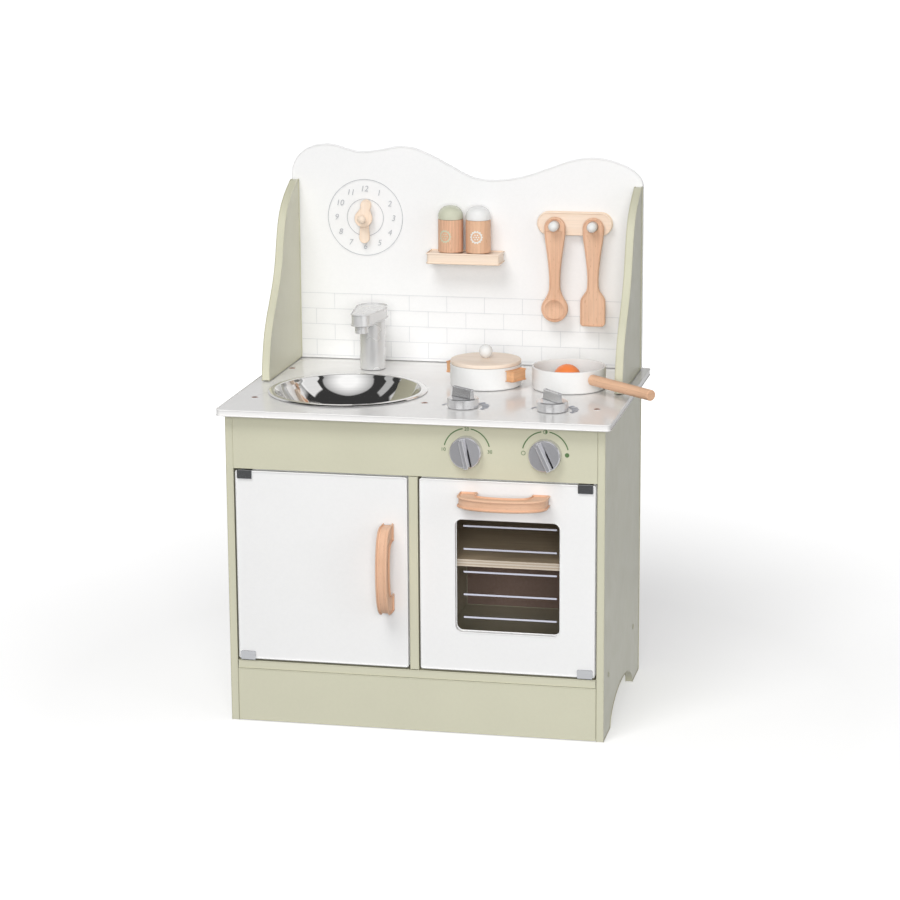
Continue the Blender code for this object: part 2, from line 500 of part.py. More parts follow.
# ---------------------------------------------------------------- pan with fried egg
Z1 = Z0 + PAN_H
pan = turned("pan_body", [(0, Z0 + 3), (PAN_R - 3.6, Z0 + 3), (PAN_R - 2.8, Z0 + 4.2), (PAN_R - 2.6, Z1 - 0.5), (PAN_R - 2.2, Z1), (PAN_R - 0.5, Z1),
                          (PAN_R, Z1 - 0.5), (PAN_R, Z0 + 2.5), (PAN_R - 2.2, Z0), (0, Z0)], (PAN_X, PAN_Y, 0), "white", steps=44)
dx, dy = PAN_HANDLE_END[0] - PAN_X, PAN_HANDLE_END[1] - PAN_Y
length = hypot(dx, dy)
handle_turn = atan2(dy, dx)
HZ = 444.5
turned("pan_handle", [(0, length), (PAN_HANDLE_R - 0.8, length), (PAN_HANDLE_R, length - 0.9),
                      (PAN_HANDLE_R, PAN_R + 1.0), (0, PAN_R + 1.0)], (PAN_X, PAN_Y, HZ), "beech",
       (0, pi / 2, handle_turn), 24)

blob = []
for i in range(36):
    t = 2 * pi * i / 36
    r = 35.5 + 3.2 * sin(3 * t + 0.6) + 1.8 * sin(5 * t + 2.0)
    blob.append((r * cos(t), r * sin(t)))
plate("egg_white", [blob], 8.4, "XY", (PAN_X - 1, PAN_Y + 1, Z0 + 3.3 + 4.2), "white")
EY = Z0 + 3.3 + 8.4 + GAP
turned("egg_yolk", [(0, EY + 19)] + [(19 * sin(radians(a)), EY + 19 * cos(radians(a))) for a in (15, 30, 45, 60, 75)]
       + [(19, EY), (0, EY)], (PAN_X - 2.5, PAN_Y + 1, 0), "yolk", steps=28)

# ---------------------------------------------------------------- what moves together
def carrier(name, centre, *nodes):
    """An empty on the joint's axis, which carries the pieces of one moving group."""
    empty = bpy.data.objects.new(name, None)
    empty.empty_display_size = 0.01
    empty.location = [c * MM for c in centre]
    empty.parent = root
    kitchen.objects.link(empty)
    for n in nodes:
        ob = bpy.data.objects[n]
        ob.parent = empty
        ob.location -= empty.location


MID_Z = (DOOR_Z0 + DOOR_Z1) / 2
carrier("cupboard_door_axis", (-PIVOT_X, PIVOT_Y, MID_Z),
        "cupboard_door", "cupboard_handle", "cupboard_hinge_top", "cupboard_hinge_bottom")
carrier("oven_door_axis", (PIVOT_X, PIVOT_Y, MID_Z),
        "oven_door", "oven_handle", "oven_window", "oven_hinge_top", "oven_hinge_bottom")
carrier("pot_place", (POT_X, POT_Y, Z0), "pot_body", "pot_handle_left", "pot_handle_right")
carrier("pot_lid_place", (POT_X, POT_Y, Z0 + POT_H), "pot_lid", "lid_knob")
carrier("pan_place", (PAN_X, PAN_Y, Z0), "pan_body", "pan_handle")
carrier("egg_place", (PAN_X, PAN_Y, Z0 + 3.3), "egg_white", "egg_yolk")
carrier("pepper_place", (-16.6, 322, SH), "pepper_body", "pepper_cap")
carrier("salt_place", (22.1, 322, SH), "salt_body", "salt_cap")
carrier("spoon_place", (PEG_X[0], U_Y, PEG_Z), "spoon")
carrier("spatula_place", (PEG_X[1], U_Y, PEG_Z), "spatula")

# ---------------------------------------------------------------- world origin
box_x1 = PAN_HANDLE_END[0] + (PAN_HANDLE_R - 0.8) * abs(sin(handle_turn))
box_x1 = max(box_x1, PAN_HANDLE_END[0] - 0.9 * cos(handle_turn) + PAN_HANDLE_R * abs(sin(handle_turn)))
root.location = (-(BOX_X0 + box_x1) / 2 * MM, -(BOX_Y0 + BOX_Y1) / 2 * MM, 0.0)
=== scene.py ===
# Looks for the toy kitchen: fine meshes, prints and procedural materials around the CAD frame.
# Dimensions are in millimetres in the cabinet's own frame (X from the cabinet's middle plane,
# Y from its front edge to the back, Z from the floor) and are shifted to the row frame below.
import json
import bpy
import bmesh
from math import sin, cos, pi, radians, degrees, hypot, atan2, acos, asin, sqrt
from mathutils import Matrix, Vector, Euler
from mathutils.geometry import tessellate_polygon


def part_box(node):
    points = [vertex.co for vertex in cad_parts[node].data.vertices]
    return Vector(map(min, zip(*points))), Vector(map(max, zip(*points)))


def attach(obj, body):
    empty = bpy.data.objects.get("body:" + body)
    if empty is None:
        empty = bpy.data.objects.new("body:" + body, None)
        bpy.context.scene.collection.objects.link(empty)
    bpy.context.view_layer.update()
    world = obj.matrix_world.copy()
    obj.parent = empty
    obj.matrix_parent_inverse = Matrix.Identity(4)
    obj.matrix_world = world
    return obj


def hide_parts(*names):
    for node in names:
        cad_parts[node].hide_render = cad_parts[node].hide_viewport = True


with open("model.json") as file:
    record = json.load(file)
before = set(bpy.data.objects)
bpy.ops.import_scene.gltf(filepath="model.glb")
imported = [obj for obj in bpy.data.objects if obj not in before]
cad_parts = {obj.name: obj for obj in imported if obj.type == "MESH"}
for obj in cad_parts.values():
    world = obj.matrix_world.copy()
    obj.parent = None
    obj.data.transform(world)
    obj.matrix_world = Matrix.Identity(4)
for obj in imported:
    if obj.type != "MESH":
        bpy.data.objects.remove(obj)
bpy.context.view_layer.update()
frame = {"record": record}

MM = 0.001
scene = bpy.context.scene

_lo, _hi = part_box("side_panel_left")
OX = _lo.x / MM + 250.0
OY = _lo.y / MM
GAP = 0.3


def W(x, y, z):
    return Vector(((x + OX) * MM, (y + OY) * MM, z * MM))


# ------------------------------------------------------------------ shader helpers
def lin(rgb):
    """sRGB 0..255 to linear."""
    out = []
    for c in rgb:
        c = c / 255.0
        out.append(c / 12.92 if c <= 0.04045 else ((c + 0.055) / 1.055) ** 2.4)
    return out


class Mat:
    def __init__(self, name):
        self.m = bpy.data.materials.new(name)
        self.m.use_nodes = True
        self.nt = self.m.node_tree
        self.b = self.nt.nodes["Principled BSDF"]
        self.out = self.nt.nodes["Material Output"]
        self.tc = self.node("ShaderNodeTexCoord")
        self.obj = self.tc.outputs["Object"]

    def node(self, kind, **props):
        n = self.nt.nodes.new(kind)
        for k, v in props.items():
            setattr(n, k, v)
        return n

    def link(self, a, b):
        self.nt.links.new(a, b)

    def const(self, **kw):
        for k, v in kw.items():
            self.b.inputs[k.replace("_", " ")].default_value = v

    def mapping(self, src, rot=(0, 0, 0), scale=(1, 1, 1), loc=(0, 0, 0)):
        n = self.node("ShaderNodeMapping")
        n.inputs["Rotation"].default_value = rot
        n.inputs["Scale"].default_value = scale
        n.inputs["Location"].default_value = loc
        self.link(src, n.inputs["Vector"])
        return n.outputs["Vector"]

    def noise(self, vec, scale, detail=2.0, rough=0.5, distortion=0.0):
        n = self.node("ShaderNodeTexNoise")
        n.inputs["Scale"].default_value = scale
        n.inputs["Detail"].default_value = detail
        n.inputs["Roughness"].default_value = rough
        n.inputs["Distortion"].default_value = distortion
        self.link(vec, n.inputs["Vector"])
        return n.outputs["Fac"]

    def ramp(self, fac, stops):
        n = self.node("ShaderNodeValToRGB")
        els = n.color_ramp.elements
        while len(els) < len(stops):
            els.new(0.5)
        for e, (p, c) in zip(els, stops):
            e.position = p
            e.color = (*c, 1.0) if len(c) == 3 else c
        self.link(fac, n.inputs["Fac"])
        return n.outputs["Color"]

    def range(self, fac, lo, hi, a=0.0, b=1.0):
        n = self.node("ShaderNodeMapRange")
        n.inputs["From Min"].default_value = a
        n.inputs["From Max"].default_value = b
        n.inputs["To Min"].default_value = lo
        n.inputs["To Max"].default_value = hi
        self.link(fac, n.inputs["Value"])
        return n.outputs["Result"]

    def mix(self, fac, a, b, mode="MIX"):
        n = self.node("ShaderNodeMix", data_type="RGBA", blend_type=mode)
        if isinstance(fac, (int, float)):
            n.inputs[0].default_value = fac
        else:
            self.link(fac, n.inputs[0])
        for i, v in ((6, a), (7, b)):
            if isinstance(v, (tuple, list)):
                n.inputs[i].default_value = (*v, 1.0)
            else:
                self.link(v, n.inputs[i])
        return n.outputs[2]

    def math(self, op, a, b=None):
        n = self.node("ShaderNodeMath", operation=op)
        for i, v in enumerate((a, b)):
            if v is None:
                continue
            if isinstance(v, (int, float)):
                n.inputs[i].default_value = v
            else:
                self.link(v, n.inputs[i])
        return n.outputs[0]

    def bump(self, *layers):
        """layers: (height, strength, distance in mm)"""
        normal = None
        for h, strength, dist in layers:
            n = self.node("ShaderNodeBump")
            n.inputs["Strength"].default_value = strength
            n.inputs["Distance"].default_value = dist * MM
            self.link(h, n.inputs["Height"])
            if normal is not None:
                self.link(normal, n.inputs["Normal"])
            normal = n.outputs["Normal"]
        self.link(normal, self.b.inputs["Normal"])

    def color(self, c):
        self.link(c, self.b.inputs["Base Color"])

    def rough(self, r):
        self.link(r, self.b.inputs["Roughness"])


def paint(name, rgb, rough, var=0.03, peel=0.05, fibre_axis=None, spec=0.5, coat=0.0):
    """Sprayed satin paint on board: slight cloudiness, fine orange peel."""
    p = Mat(name)
    a = p.noise(p.obj, 9.0, 3.0)
    b = p.noise(p.obj, 260.0, 3.0, 0.6)
    base = p.ramp(a, [(0.3, [c * (1 - var) for c in rgb]), (0.72, [min(1.0, c * (1 + var)) for c in rgb])])
    speck = p.ramp(b, [(0.35, [0.985] * 3), (0.65, [1.0] * 3)])
    p.color(p.mix(1.0, base, speck, "MULTIPLY"))
    c = p.noise(p.obj, 45.0, 2.0)
    p.rough(p.range(c, rough - 0.035, rough + 0.035, 0.3, 0.7))
    peel_h = p.noise(p.obj, 650.0, 2.0, 0.5)
    layers = [(peel_h, peel, 0.12)]
    if fibre_axis is not None:
        sc = [1.0, 1.0, 1.0]
        sc[fibre_axis] = 0.04
        f = p.noise(p.mapping(p.obj, scale=sc), 700.0, 3.0, 0.6)
        layers.append((f, peel * 0.7, 0.1))
    p.bump(*layers)
    p.const(Specular_IOR_Level=spec)
    if coat:
        p.const(Coat_Weight=coat, Coat_Roughness=0.08)
    return p.m


def wood(name, light, mid, dark, axis=(0, 0, 0), rough=0.5, ring=1.0, fleck=1.0, contrast=1.0, seed=0.0, spec=0.4):
    """Wood with its grain along the local X after the given rotation."""
    p = Mat(name)
    v = p.mapping(p.obj, rot=axis)
    v = p.mapping(v, loc=(seed, seed * 0.7, seed * 1.3))
    # broad tone along the board
    broad = p.noise(p.mapping(v, scale=(0.09, 1, 1)), 70.0, 3.0, 0.55, 0.4)
    tone = p.ramp(broad, [(0.28, mid), (0.74, light)])
    # growth rings, bent by noise
    bend = p.noise(p.mapping(v, scale=(0.16, 1, 1)), 38.0, 2.0)
    wv = p.node("ShaderNodeTexWave", wave_type="BANDS", bands_direction="Z", wave_profile="SAW")
    wv.inputs["Scale"].default_value = 55.0 * ring
    wv.inputs["Distortion"].default_value = 5.0
    wv.inputs["Detail"].default_value = 2.0
    wv.inputs["Detail Scale"].default_value = 0.8
    p.link(p.mapping(v, scale=(0.10, 0.55, 1)), wv.inputs["Vector"])
    rings = p.ramp(wv.outputs["Fac"], [(0.0, [1.0] * 3), (0.72, [1 - 0.035 * contrast] * 3),
                                        (0.97, [1 - 0.10 * contrast] * 3), (1.0, [1.0] * 3)])
    col = p.mix(1.0, tone, rings, "MULTIPLY")
    # fine fibres
    fib = p.noise(p.mapping(v, scale=(0.035, 1, 1)), 1500.0, 3.0, 0.65)
    fibc = p.ramp(fib, [(0.32, [1 - 0.085 * contrast] * 3), (0.62, [1.0] * 3)])
    col = p.mix(1.0, col, fibc, "MULTIPLY")
    # short dark flecks (rays)
    if fleck:
        fl = p.noise(p.mapping(v, scale=(0.16, 1, 1)), 900.0, 1.0, 0.4)
        fl = p.range(fl, 0.0, 0.55 * fleck, 0.68, 0.78)
        col = p.mix(fl, col, dark)
    p.color(col)
    p.rough(p.range(fib, rough + 0.06, rough - 0.05, 0.3, 0.7))
    p.bump((fib, 0.10, 0.12), (broad, 0.03, 0.4))
    p.const(Specular_IOR_Level=spec)
    return p.m


def metal(name, rgb, rough, scale=400.0, stretch=(1, 1, 1), var=0.05, bump=0.03, metallic=1.0, rot=(0, 0, 0)):
    p = Mat(name)
    v = p.mapping(p.mapping(p.obj, rot=rot), scale=stretch)
    n = p.noise(v, scale, 3.0, 0.6)
    p.color(p.ramp(n, [(0.3, [c * (1 - var) for c in rgb]), (0.7, [min(1, c * (1 + var)) for c in rgb])]))
    big = p.noise(p.obj, 24.0, 2.0)
    p.rough(p.range(big, max(0.01, rough * 0.85), rough * 1.15, 0.3, 0.7))
    p.bump((n, bump, 0.1))
    p.const(Metallic=metallic)
    return p.m


SAGE = (0.640, 0.628, 0.485)
WHITE = (0.885, 0.885, 0.882)
BEECH_L, BEECH_M, BEECH_D = (0.87, 0.58, 0.41), (0.76, 0.47, 0.31), (0.46, 0.23, 0.12)
PALE_L, PALE_M, PALE_D = (0.95, 0.81, 0.68), (0.90, 0.73, 0.58), (0.70, 0.47, 0.29)
AX_X = (0.0, 0.0, 0.0)
AX_Z = (0.0, pi / 2, 0.0)

MAT = {
    "sage": paint("sage_paint_fine", SAGE, 0.34, 0.02, 0.015, spec=0.65),
    "sage_cap": paint("sage_cap_gloss", (0.60, 0.61, 0.48), 0.22, 0.02, 0.03),
    "white": paint("white_paint_fine", WHITE, 0.38, 0.012, 0.05),
    "top": paint("white_countertop", (0.89, 0.88, 0.87), 0.15, 0.012, 0.05, fibre_axis=0),
    "panel": paint("white_splashback", (0.90, 0.90, 0.90), 0.45, 0.008, 0.04),
    "white_gloss": paint("white_gloss_paint", (0.83, 0.83, 0.82), 0.20, 0.008, 0.02),
    "beech_z": wood("beech_upright", BEECH_L, BEECH_M, BEECH_D, AX_Z),
    "beech_z2": wood("beech_upright_b", BEECH_L, BEECH_M, BEECH_D, AX_Z, seed=0.37),
    "beech_x": wood("beech_level", BEECH_L, BEECH_M, BEECH_D, AX_X, seed=0.11),
    "shaker_a": wood("shaker_wood_a", (0.90, 0.57, 0.39), (0.78, 0.46, 0.30), BEECH_D, AX_Z, ring=1.4, contrast=1.8, seed=0.53),
    "shaker_b": wood("shaker_wood_b", (0.84, 0.54, 0.36), (0.74, 0.44, 0.28), BEECH_D, AX_Z, seed=0.81),
    "pot_grip": wood("pot_grip_wood", (0.84, 0.50, 0.28), (0.72, 0.38, 0.19), BEECH_D, (0, 0, radians(-62)), seed=0.23),
    "pale_x": wood("pale_wood_level", PALE_L, PALE_M, PALE_D, AX_X, 0.42, fleck=0.15, contrast=0.55, seed=0.19),
    "pale_z": wood("pale_wood_upright", PALE_L, PALE_M, PALE_D, AX_Z, 0.42, fleck=0.15, contrast=0.5, seed=0.61),
    "lid": wood("lid_wood", (0.94, 0.80, 0.68), (0.88, 0.72, 0.58), PALE_D, AX_X, 0.36, fleck=0.1, contrast=0.5, seed=0.47),
    "silver": metal("silver_paint_fine", (0.78, 0.78, 0.79), 0.21, 2600.0, var=0.04, bump=0.02, metallic=0.82),
    # the knobs' silver paint with a darker base colour for the front-facing dials: painted shade
    "silver_dial_shaded": metal("silver_dial_painted_shade", (0.66, 0.66, 0.69), 0.22, 2600.0, var=0.04, bump=0.02, metallic=0.68),
    "tap": metal("silver_tap_fine", (0.78, 0.78, 0.78), 0.25, 2600.0, var=0.05, bump=0.03, metallic=0.36),
    "hinge": metal("hinge_steel", (0.62, 0.63, 0.66), 0.10, 900.0, (0.05, 1, 1), 0.04, 0.02),
    "copper": metal("copper_screw_fine", (0.38, 0.155, 0.08), 0.34, 900.0, var=0.1, bump=0.05),
    "zinc": metal("zinc_plate", (0.55, 0.55, 0.56), 0.3, 900.0, var=0.1, bump=0.05),
    # black magnet; also the dark crosses on the countertop screws, which are painted shade of their recesses
    "magnet": metal("black_magnet_and_recess_shade", (0.05, 0.05, 0.055), 0.45, 900.0, var=0.2, bump=0.1, metallic=0.3),
    "plastic": paint("white_plastic_fine", (0.80, 0.80, 0.79), 0.38, 0.01, 0.08),
    "yolk": paint("yolk_paint", (0.97, 0.27, 0.08), 0.30, 0.02, 0.02),
    "ink_grey": paint("print_grey", lin((188, 190, 194)), 0.5, 0.03, 0.02),
    "ink_tile": paint("print_tile_grey", lin((212, 214, 216)), 0.5, 0.03, 0.02),
    "ink_green": paint("print_green", lin((92, 122, 80)), 0.5, 0.04, 0.02),
    "ink_blue": paint("print_blue_grey", lin((166, 171, 184)), 0.45, 0.04, 0.02),
    "ink_white": paint("print_white", (0.82, 0.81, 0.77), 0.5, 0.02, 0.02),
    "ink_pale": paint("print_pale_sage", lin((205, 205, 180)), 0.5, 0.02, 0.02),
    "ink_line": paint("print_window_line", lin((208, 210, 224)), 0.35, 0.02, 0.02),
}


def spun_steel():
    p = Mat("spun_steel")
    lo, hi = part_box("sink_bowl")
    c = (lo + hi) / 2
    v = p.mapping(p.obj, loc=(-c.x, -c.y, 0))
    sep = p.node("ShaderNodeSeparateXYZ")
    p.link(v, sep.inputs[0])
    r = p.math("SQRT", p.math("ADD", p.math("MULTIPLY", sep.outputs[0], sep.outputs[0]),
                              p.math("MULTIPLY", sep.outputs[1], sep.outputs[1])))
    comb = p.node("ShaderNodeCombineXYZ")
    p.link(r, comb.inputs[0])
    p.link(sep.outputs[2], comb.inputs[2])
    n = p.noise(comb.outputs[0], 900.0, 3.0, 0.6)
    s = p.noise(p.obj, 60.0, 2.0)
    p.color(p.ramp(n, [(0.3, (0.74, 0.735, 0.73)), (0.7, (0.80, 0.79, 0.78))]))
    p.rough(p.range(s, 0.035, 0.06, 0.3, 0.7))
    p.bump((n, 0.006, 0.1), (p.noise(p.obj, 18.0, 1.0), 0.02, 1.0))
    p.const(Metallic=1.0)
    return p.m


def plywood():
    p = Mat("plywood_fine")
    grain = p.noise(p.mapping(p.obj, scale=(0.05, 1, 1)), 260.0, 4.0, 0.6, 0.3)
    face = p.ramp(grain, [(0.25, (0.62, 0.47, 0.31)), (0.75, (0.80, 0.66, 0.47))])
    lo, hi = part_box("oven_shelf")
    sep = p.node("ShaderNodeSeparateXYZ")
    p.link(p.obj, sep.inputs[0])
    t = p.range(sep.outputs[2], 0.0, 1.0, lo.z, hi.z)
    a, b = (0.95, 0.86, 0.73), (0.74, 0.60, 0.46)
    stripes = p.ramp(t, [(0.0, a), (0.19, a), (0.215, b), (0.39, b), (0.41, a), (0.60, a), (0.62, b), (0.79, b), (0.81, a), (1.0, a)])
    stripes = p.mix(1.0, stripes, p.ramp(grain, [(0.2, [0.9] * 3), (0.8, [1.0] * 3)]), "MULTIPLY")
    geo = p.node("ShaderNodeNewGeometry")
    sn = p.node("ShaderNodeSeparateXYZ")
    p.link(geo.outputs["Normal"], sn.inputs[0])
    top = p.math("GREATER_THAN", p.math("ABSOLUTE", sn.outputs[2]), 0.5)
    p.color(p.mix(top, stripes, face))
    p.bump((grain, 0.12, 0.2))
    p.const(Roughness=0.62)
    return p.m


def hardboard():
    p = Mat("hardboard_fine")
    n = p.noise(p.obj, 420.0, 5.0, 0.7)
    b = p.noise(p.obj, 12.0, 2.0)
    col = p.ramp(n, [(0.3, (0.33, 0.22, 0.18)), (0.7, (0.44, 0.31, 0.26))])
    p.color(p.mix(1.0, col, p.ramp(b, [(0.3, [0.88] * 3), (0.7, [1.0] * 3)]), "MULTIPLY"))
    p.rough(p.range(n, 0.5, 0.68, 0.3, 0.7))
    p.bump((n, 0.12, 0.15))
    return p.m


def acrylic():
    p = Mat("smoked_acrylic")
    n = p.noise(p.obj, 14.0, 2.0)
    p.color(p.ramp(n, [(0.3, (0.020, 0.019, 0.018)), (0.7, (0.026, 0.025, 0.023))]))
    p.rough(p.range(p.noise(p.obj, 60.0, 2.0), 0.03, 0.06, 0.3, 0.7))
    p.const(Alpha=0.07, IOR=1.49)
    return p.m


MAT["steel"] = spun_steel()
MAT["ply"] = plywood()
MAT["hardboard"] = hardboard()
MAT["acrylic"] = acrylic()

BODY_OF = {n: b for b, ns in frame["record"]["behaviour"]["bodies"].items() for n in ns}
ROOT = BODY_OF["side_panel_left"]


# ------------------------------------------------------------------ mesh helpers (mm, cabinet frame)
def arc(cx, cy, r, a0, a1, n):
    return [(cx + r * cos(radians(a0 + (a1 - a0) * i / n)),
             cy + r * sin(radians(a0 + (a1 - a0) * i / n))) for i in range(n + 1)]


def circle(cx, cy, r, n=64):
    return [(cx + r * cos(2 * pi * i / n), cy + r * sin(2 * pi * i / n)) for i in range(n)]


def rounded(x0, x1, y0, y1, r, n=6):
    return (arc(x1 - r, y0 + r, r, -90, 0, n) + arc(x1 - r, y1 - r, r, 0, 90, n)
            + arc(x0 + r, y1 - r, r, 90, 180, n) + arc(x0 + r, y0 + r, r, 180, 270, n))


def smooth_line(points, n):
    out = []
    p = [points[0]] + list(points) + [points[-1]]
    for i in range(1, len(p) - 2):
        for k in range(n):
            t = k / n
            q = []
            for c in (0, 1):
                a, b, d, e = p[i - 1][c], p[i][c], p[i + 1][c], p[i + 2][c]
                q.append(0.5 * (2 * b + (d - a) * t + (2 * a - 5 * b + 4 * d - e) * t * t
                                + (3 * b - a - 3 * d + e) * t ** 3))
            out.append(tuple(q))
    out.append(tuple(points[-1]))
    return out


def clean(poly, ccw):
    """No doubled points, wanted direction."""
    out = []
    for p in poly:
        if not out or hypot(p[0] - out[-1][0], p[1] - out[-1][1]) > 1e-4:
            out.append(tuple(p))
    if hypot(out[0][0] - out[-1][0], out[0][1] - out[-1][1]) < 1e-4:
        out.pop()
    area = sum(a[0] * b[1] - b[0] * a[1] for a, b in zip(out, out[1:] + out[:1]))
    if (area > 0) != ccw:
        out.reverse()
    return out


def inset(poly, d):
    """The outline moved by d towards its left side."""
    n = len(poly)
    out = []
    for i in range(n):
        p0, p1, p2 = Vector(poly[i - 1]), Vector(poly[i]), Vector(poly[(i + 1) % n])
        e1, e2 = (p1 - p0).normalized(), (p2 - p1).normalized()
        n1, n2 = Vector((-e1.y, e1.x)), Vector((-e2.y, e2.x))
        b = n1 + n2
        b = b.normalized() if b.length > 1e-6 else n1
        out.append(p1 + b * (d / max(b.dot(n1), 0.4)))
    return out


PLANE = {
    "XY": lambda u, v, w: Vector((u, v, w)),
    "XZ": lambda u, v, w: Vector((u, -w, v)),
    "YZ": lambda u, v, w: Vector((w, u, v)),
}


def plate_bm(outer, holes, t, plane, at, bevel=0.8, seg=3, hole_bevel=None, dishes=()):
    """Plate with rolled edges. outer and holes are outlines in the plane; t is the thickness, centred on `at`
    along the plane's normal. dishes are (x, y, radius, depth) hollows in the +w face."""
    bm = bmesh.new()
    loops = [(clean(outer, True), bevel)] + [(clean(h, False), bevel if hole_bevel is None else hole_bevel) for h in holes]
    put = PLANE[plane]
    base = Vector(at)
    rims = {-1: [], 1: []}
    for pts, b in loops:
        b = min(b, t / 2 - 0.01)
        levels = []
        for i in range(seg + 1):
            a = pi / 2 * i / seg
            levels.append((-t / 2 + b * (1 - sin(a)), b * (1 - cos(a))))
        levels = [(w, d) for w, d in levels]
        levels = levels + [(-w, d) for w, d in reversed(levels)] if b > 0 else [(-t / 2, 0), (t / 2, 0)]
        rings = []
        for w, d in levels:
            ring = inset(pts, d) if d > 1e-6 else [Vector(p) for p in pts]
            rings.append([bm.verts.new(put(p[0], p[1], w) + base) for p in ring])
        for r0, r1 in zip(rings, rings[1:]):
            n = len(r0)
            for i in range(n):
                bm.faces.new((r0[i], r0[(i + 1) % n], r1[(i + 1) % n], r1[i]))
        rims[-1].append((rings[0], [p for p in (inset(pts, levels[0][1]) if levels[0][1] > 1e-6 else pts)]))
        rims[1].append((rings[-1], [p for p in (inset(pts, levels[-1][1]) if levels[-1][1] > 1e-6 else pts)]))
    for cx, cy, r, depth in dishes:
        big = (r * r + depth * depth) / (2 * depth)       # sphere radius
        ang = acos((big - depth) / big)
        n = 48
        prev = None
        first = None
        steps = 12
        for k in range(steps):
            a = ang * (1 - k / steps)
            rr = big * sin(a)
            w = t / 2 - (big * cos(a) - (big - depth))
            ring2 = [(cx + rr * cos(-2 * pi * i / n), cy + rr * sin(-2 * pi * i / n)) for i in range(n)]
            vs = [bm.verts.new(put(p[0], p[1], w) + base) for p in ring2]
            if prev is None:
                first = (vs, ring2)
            else:
                for i in range(n):
                    bm.faces.new((prev[i], prev[(i + 1) % n], vs[(i + 1) % n], vs[i]))
            prev = vs
        c = bm.verts.new(put(cx, cy, t / 2 - depth) + base)
        for i in range(n):
            bm.faces.new((prev[i], prev[(i + 1) % n], c))
        rims[1].append(first)
    for side in (-1, 1):
        verts = [v for vs, _ in rims[side] for v in vs]
        polys = [[Vector((p[0], p[1], 0)) for p in pts] for _, pts in rims[side]]
        for tri in tessellate_polygon(polys):
            a, b, c = (verts[i] for i in tri)
            try:
                bm.faces.new((a, b, c))
            except ValueError:
                pass
    bmesh.ops.recalc_face_normals(bm, faces=bm.faces)
    return bm


def lathe_bm(profile, centre, rot=None, steps=96, closed=False):
    """Solid of revolution about Z; profile points (r, z), from the axis round to the axis."""
    bm = bmesh.new()
    m = Matrix.Translation(Vector(centre)) @ (rot.to_4x4() if rot is not None else Matrix.Identity(4))
    rings = []
    for r, z in profile:
        if r < 1e-5:
            rings.append([bm.verts.new(m @ Vector((0, 0, z)))])
        else:
            rings.append([bm.verts.new(m @ Vector((r * cos(2 * pi * i / steps), r * sin(2 * pi * i / steps), z))) for i in range(steps)])
    pairs = list(zip(rings, rings[1:]))
    if closed:
        pairs.append((rings[-1], rings[0]))
    for a, b in pairs:
        if len(a) == 1 and len(b) == 1:
            continue
        for i in range(steps):
            j = (i + 1) % steps
            if len(a) == 1:
                bm.faces.new((a[0], b[i], b[j]))
            elif len(b) == 1:
                bm.faces.new((a[i], b[0], a[j]))
            else:
                bm.faces.new((a[i], b[i], b[j], a[j]))
    bmesh.ops.recalc_face_normals(bm, faces=bm.faces)
    return bm


def fillet(points, n=5):
    """Polyline (x, y, radius) with round corners."""
    out = []
    for i, p in enumerate(points):
        r = p[2] if len(p) > 2 else 0.0
        if r <= 0 or i in (0, len(points) - 1):
            out.append((p[0], p[1]))
            continue
        a, b, c = Vector(points[i - 1][:2]), Vector(p[:2]), Vector(points[i + 1][:2])
        u, v = (a - b), (c - b)
        lu, lv = u.length, v.length
        u.normalize()
        v.normalize()
        half = acos(max(-1, min(1, u.dot(v)))) / 2
        d = min(r / max(1e-6, (sin(half) / cos(half))), lu * 0.49, lv * 0.49)
        rr = d * sin(half) / cos(half)
        centre = b + (u + v).normalized() * (rr / sin(half))
        s, e = b + u * d - centre, b + v * d - centre
        a0, a1 = atan2(s.y, s.x), atan2(e.y, e.x)
        da = (a1 - a0 + pi) % (2 * pi) - pi
        for k in range(n + 1):
            t = a0 + da * k / n
            out.append((centre.x + rr * cos(t), centre.y + rr * sin(t)))
    return out


def put(name, bm, mat, body, node=None, slot=None, angle=38, weighted=True, turn=None):
    me = bpy.data.meshes.new(name)
    bm.to_mesh(me)
    bm.free()
    me.transform(Matrix.Translation((OX * MM, OY * MM, 0)) @ Matrix.Scale(MM, 4))
    me.materials.append(MAT[mat] if isinstance(mat, str) else mat)
    me.shade_smooth()
    me.set_sharp_from_angle(angle=radians(angle))
    ob = bpy.data.objects.new(name, me)
    scene.collection.objects.link(ob)
    if weighted:
        w = ob.modifiers.new("even_faces", "WEIGHTED_NORMAL")
        w.keep_sharp = True
        w.weight = 80
    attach(ob, body)
    if node:
        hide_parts(*([node] if isinstance(node, str) else node))
    return ob


def join_bm(parts):
    """Several bmeshes as one."""
    out = bmesh.new()
    for b in parts:
        me = bpy.data.meshes.new("tmp")
        b.to_mesh(me)
        b.free()
        out.from_mesh(me)
        bpy.data.meshes.remove(me)
    return out


def board(name, x0, x1, y0, y1, z0, z1, plane, mat, node=None, bevel=0.7, corner=0.5, body=ROOT, slot=None):
    """Board with rolled long edges; the plane names its large faces."""
    if plane == "XY":
        o, t, at = rounded(x0, x1, y0, y1, corner, 3), z1 - z0, (0, 0, (z0 + z1) / 2)
    elif plane == "XZ":
        o, t, at = rounded(x0, x1, z0, z1, corner, 3), y1 - y0, (0, (y0 + y1) / 2, 0)
    else:
        o, t, at = rounded(y0, y1, z0, z1, corner, 3), x1 - x0, ((x0 + x1) / 2, 0, 0)
    return put(name, plate_bm(o, [], t, plane, at, bevel), mat, body, node, slot)


def cross_slot(bm_list, x, y, z, size, depth, plane="XY"):
    """The four wings of a cross recess, as thin dark inlays: painted shade standing in for the shadowed recess."""
    for a in (0, 90):
        c, s = cos(radians(a)), sin(radians(a))
        pts = [(x + u * c - v * s, y + u * s + v * c) for u, v in ((-size, -size * 0.2), (size, -size * 0.2), (size, size * 0.2), (-size, size * 0.2))]
        bm_list.append(plate_bm(pts, [], depth, plane, (0, 0, z), 0.02, 1))


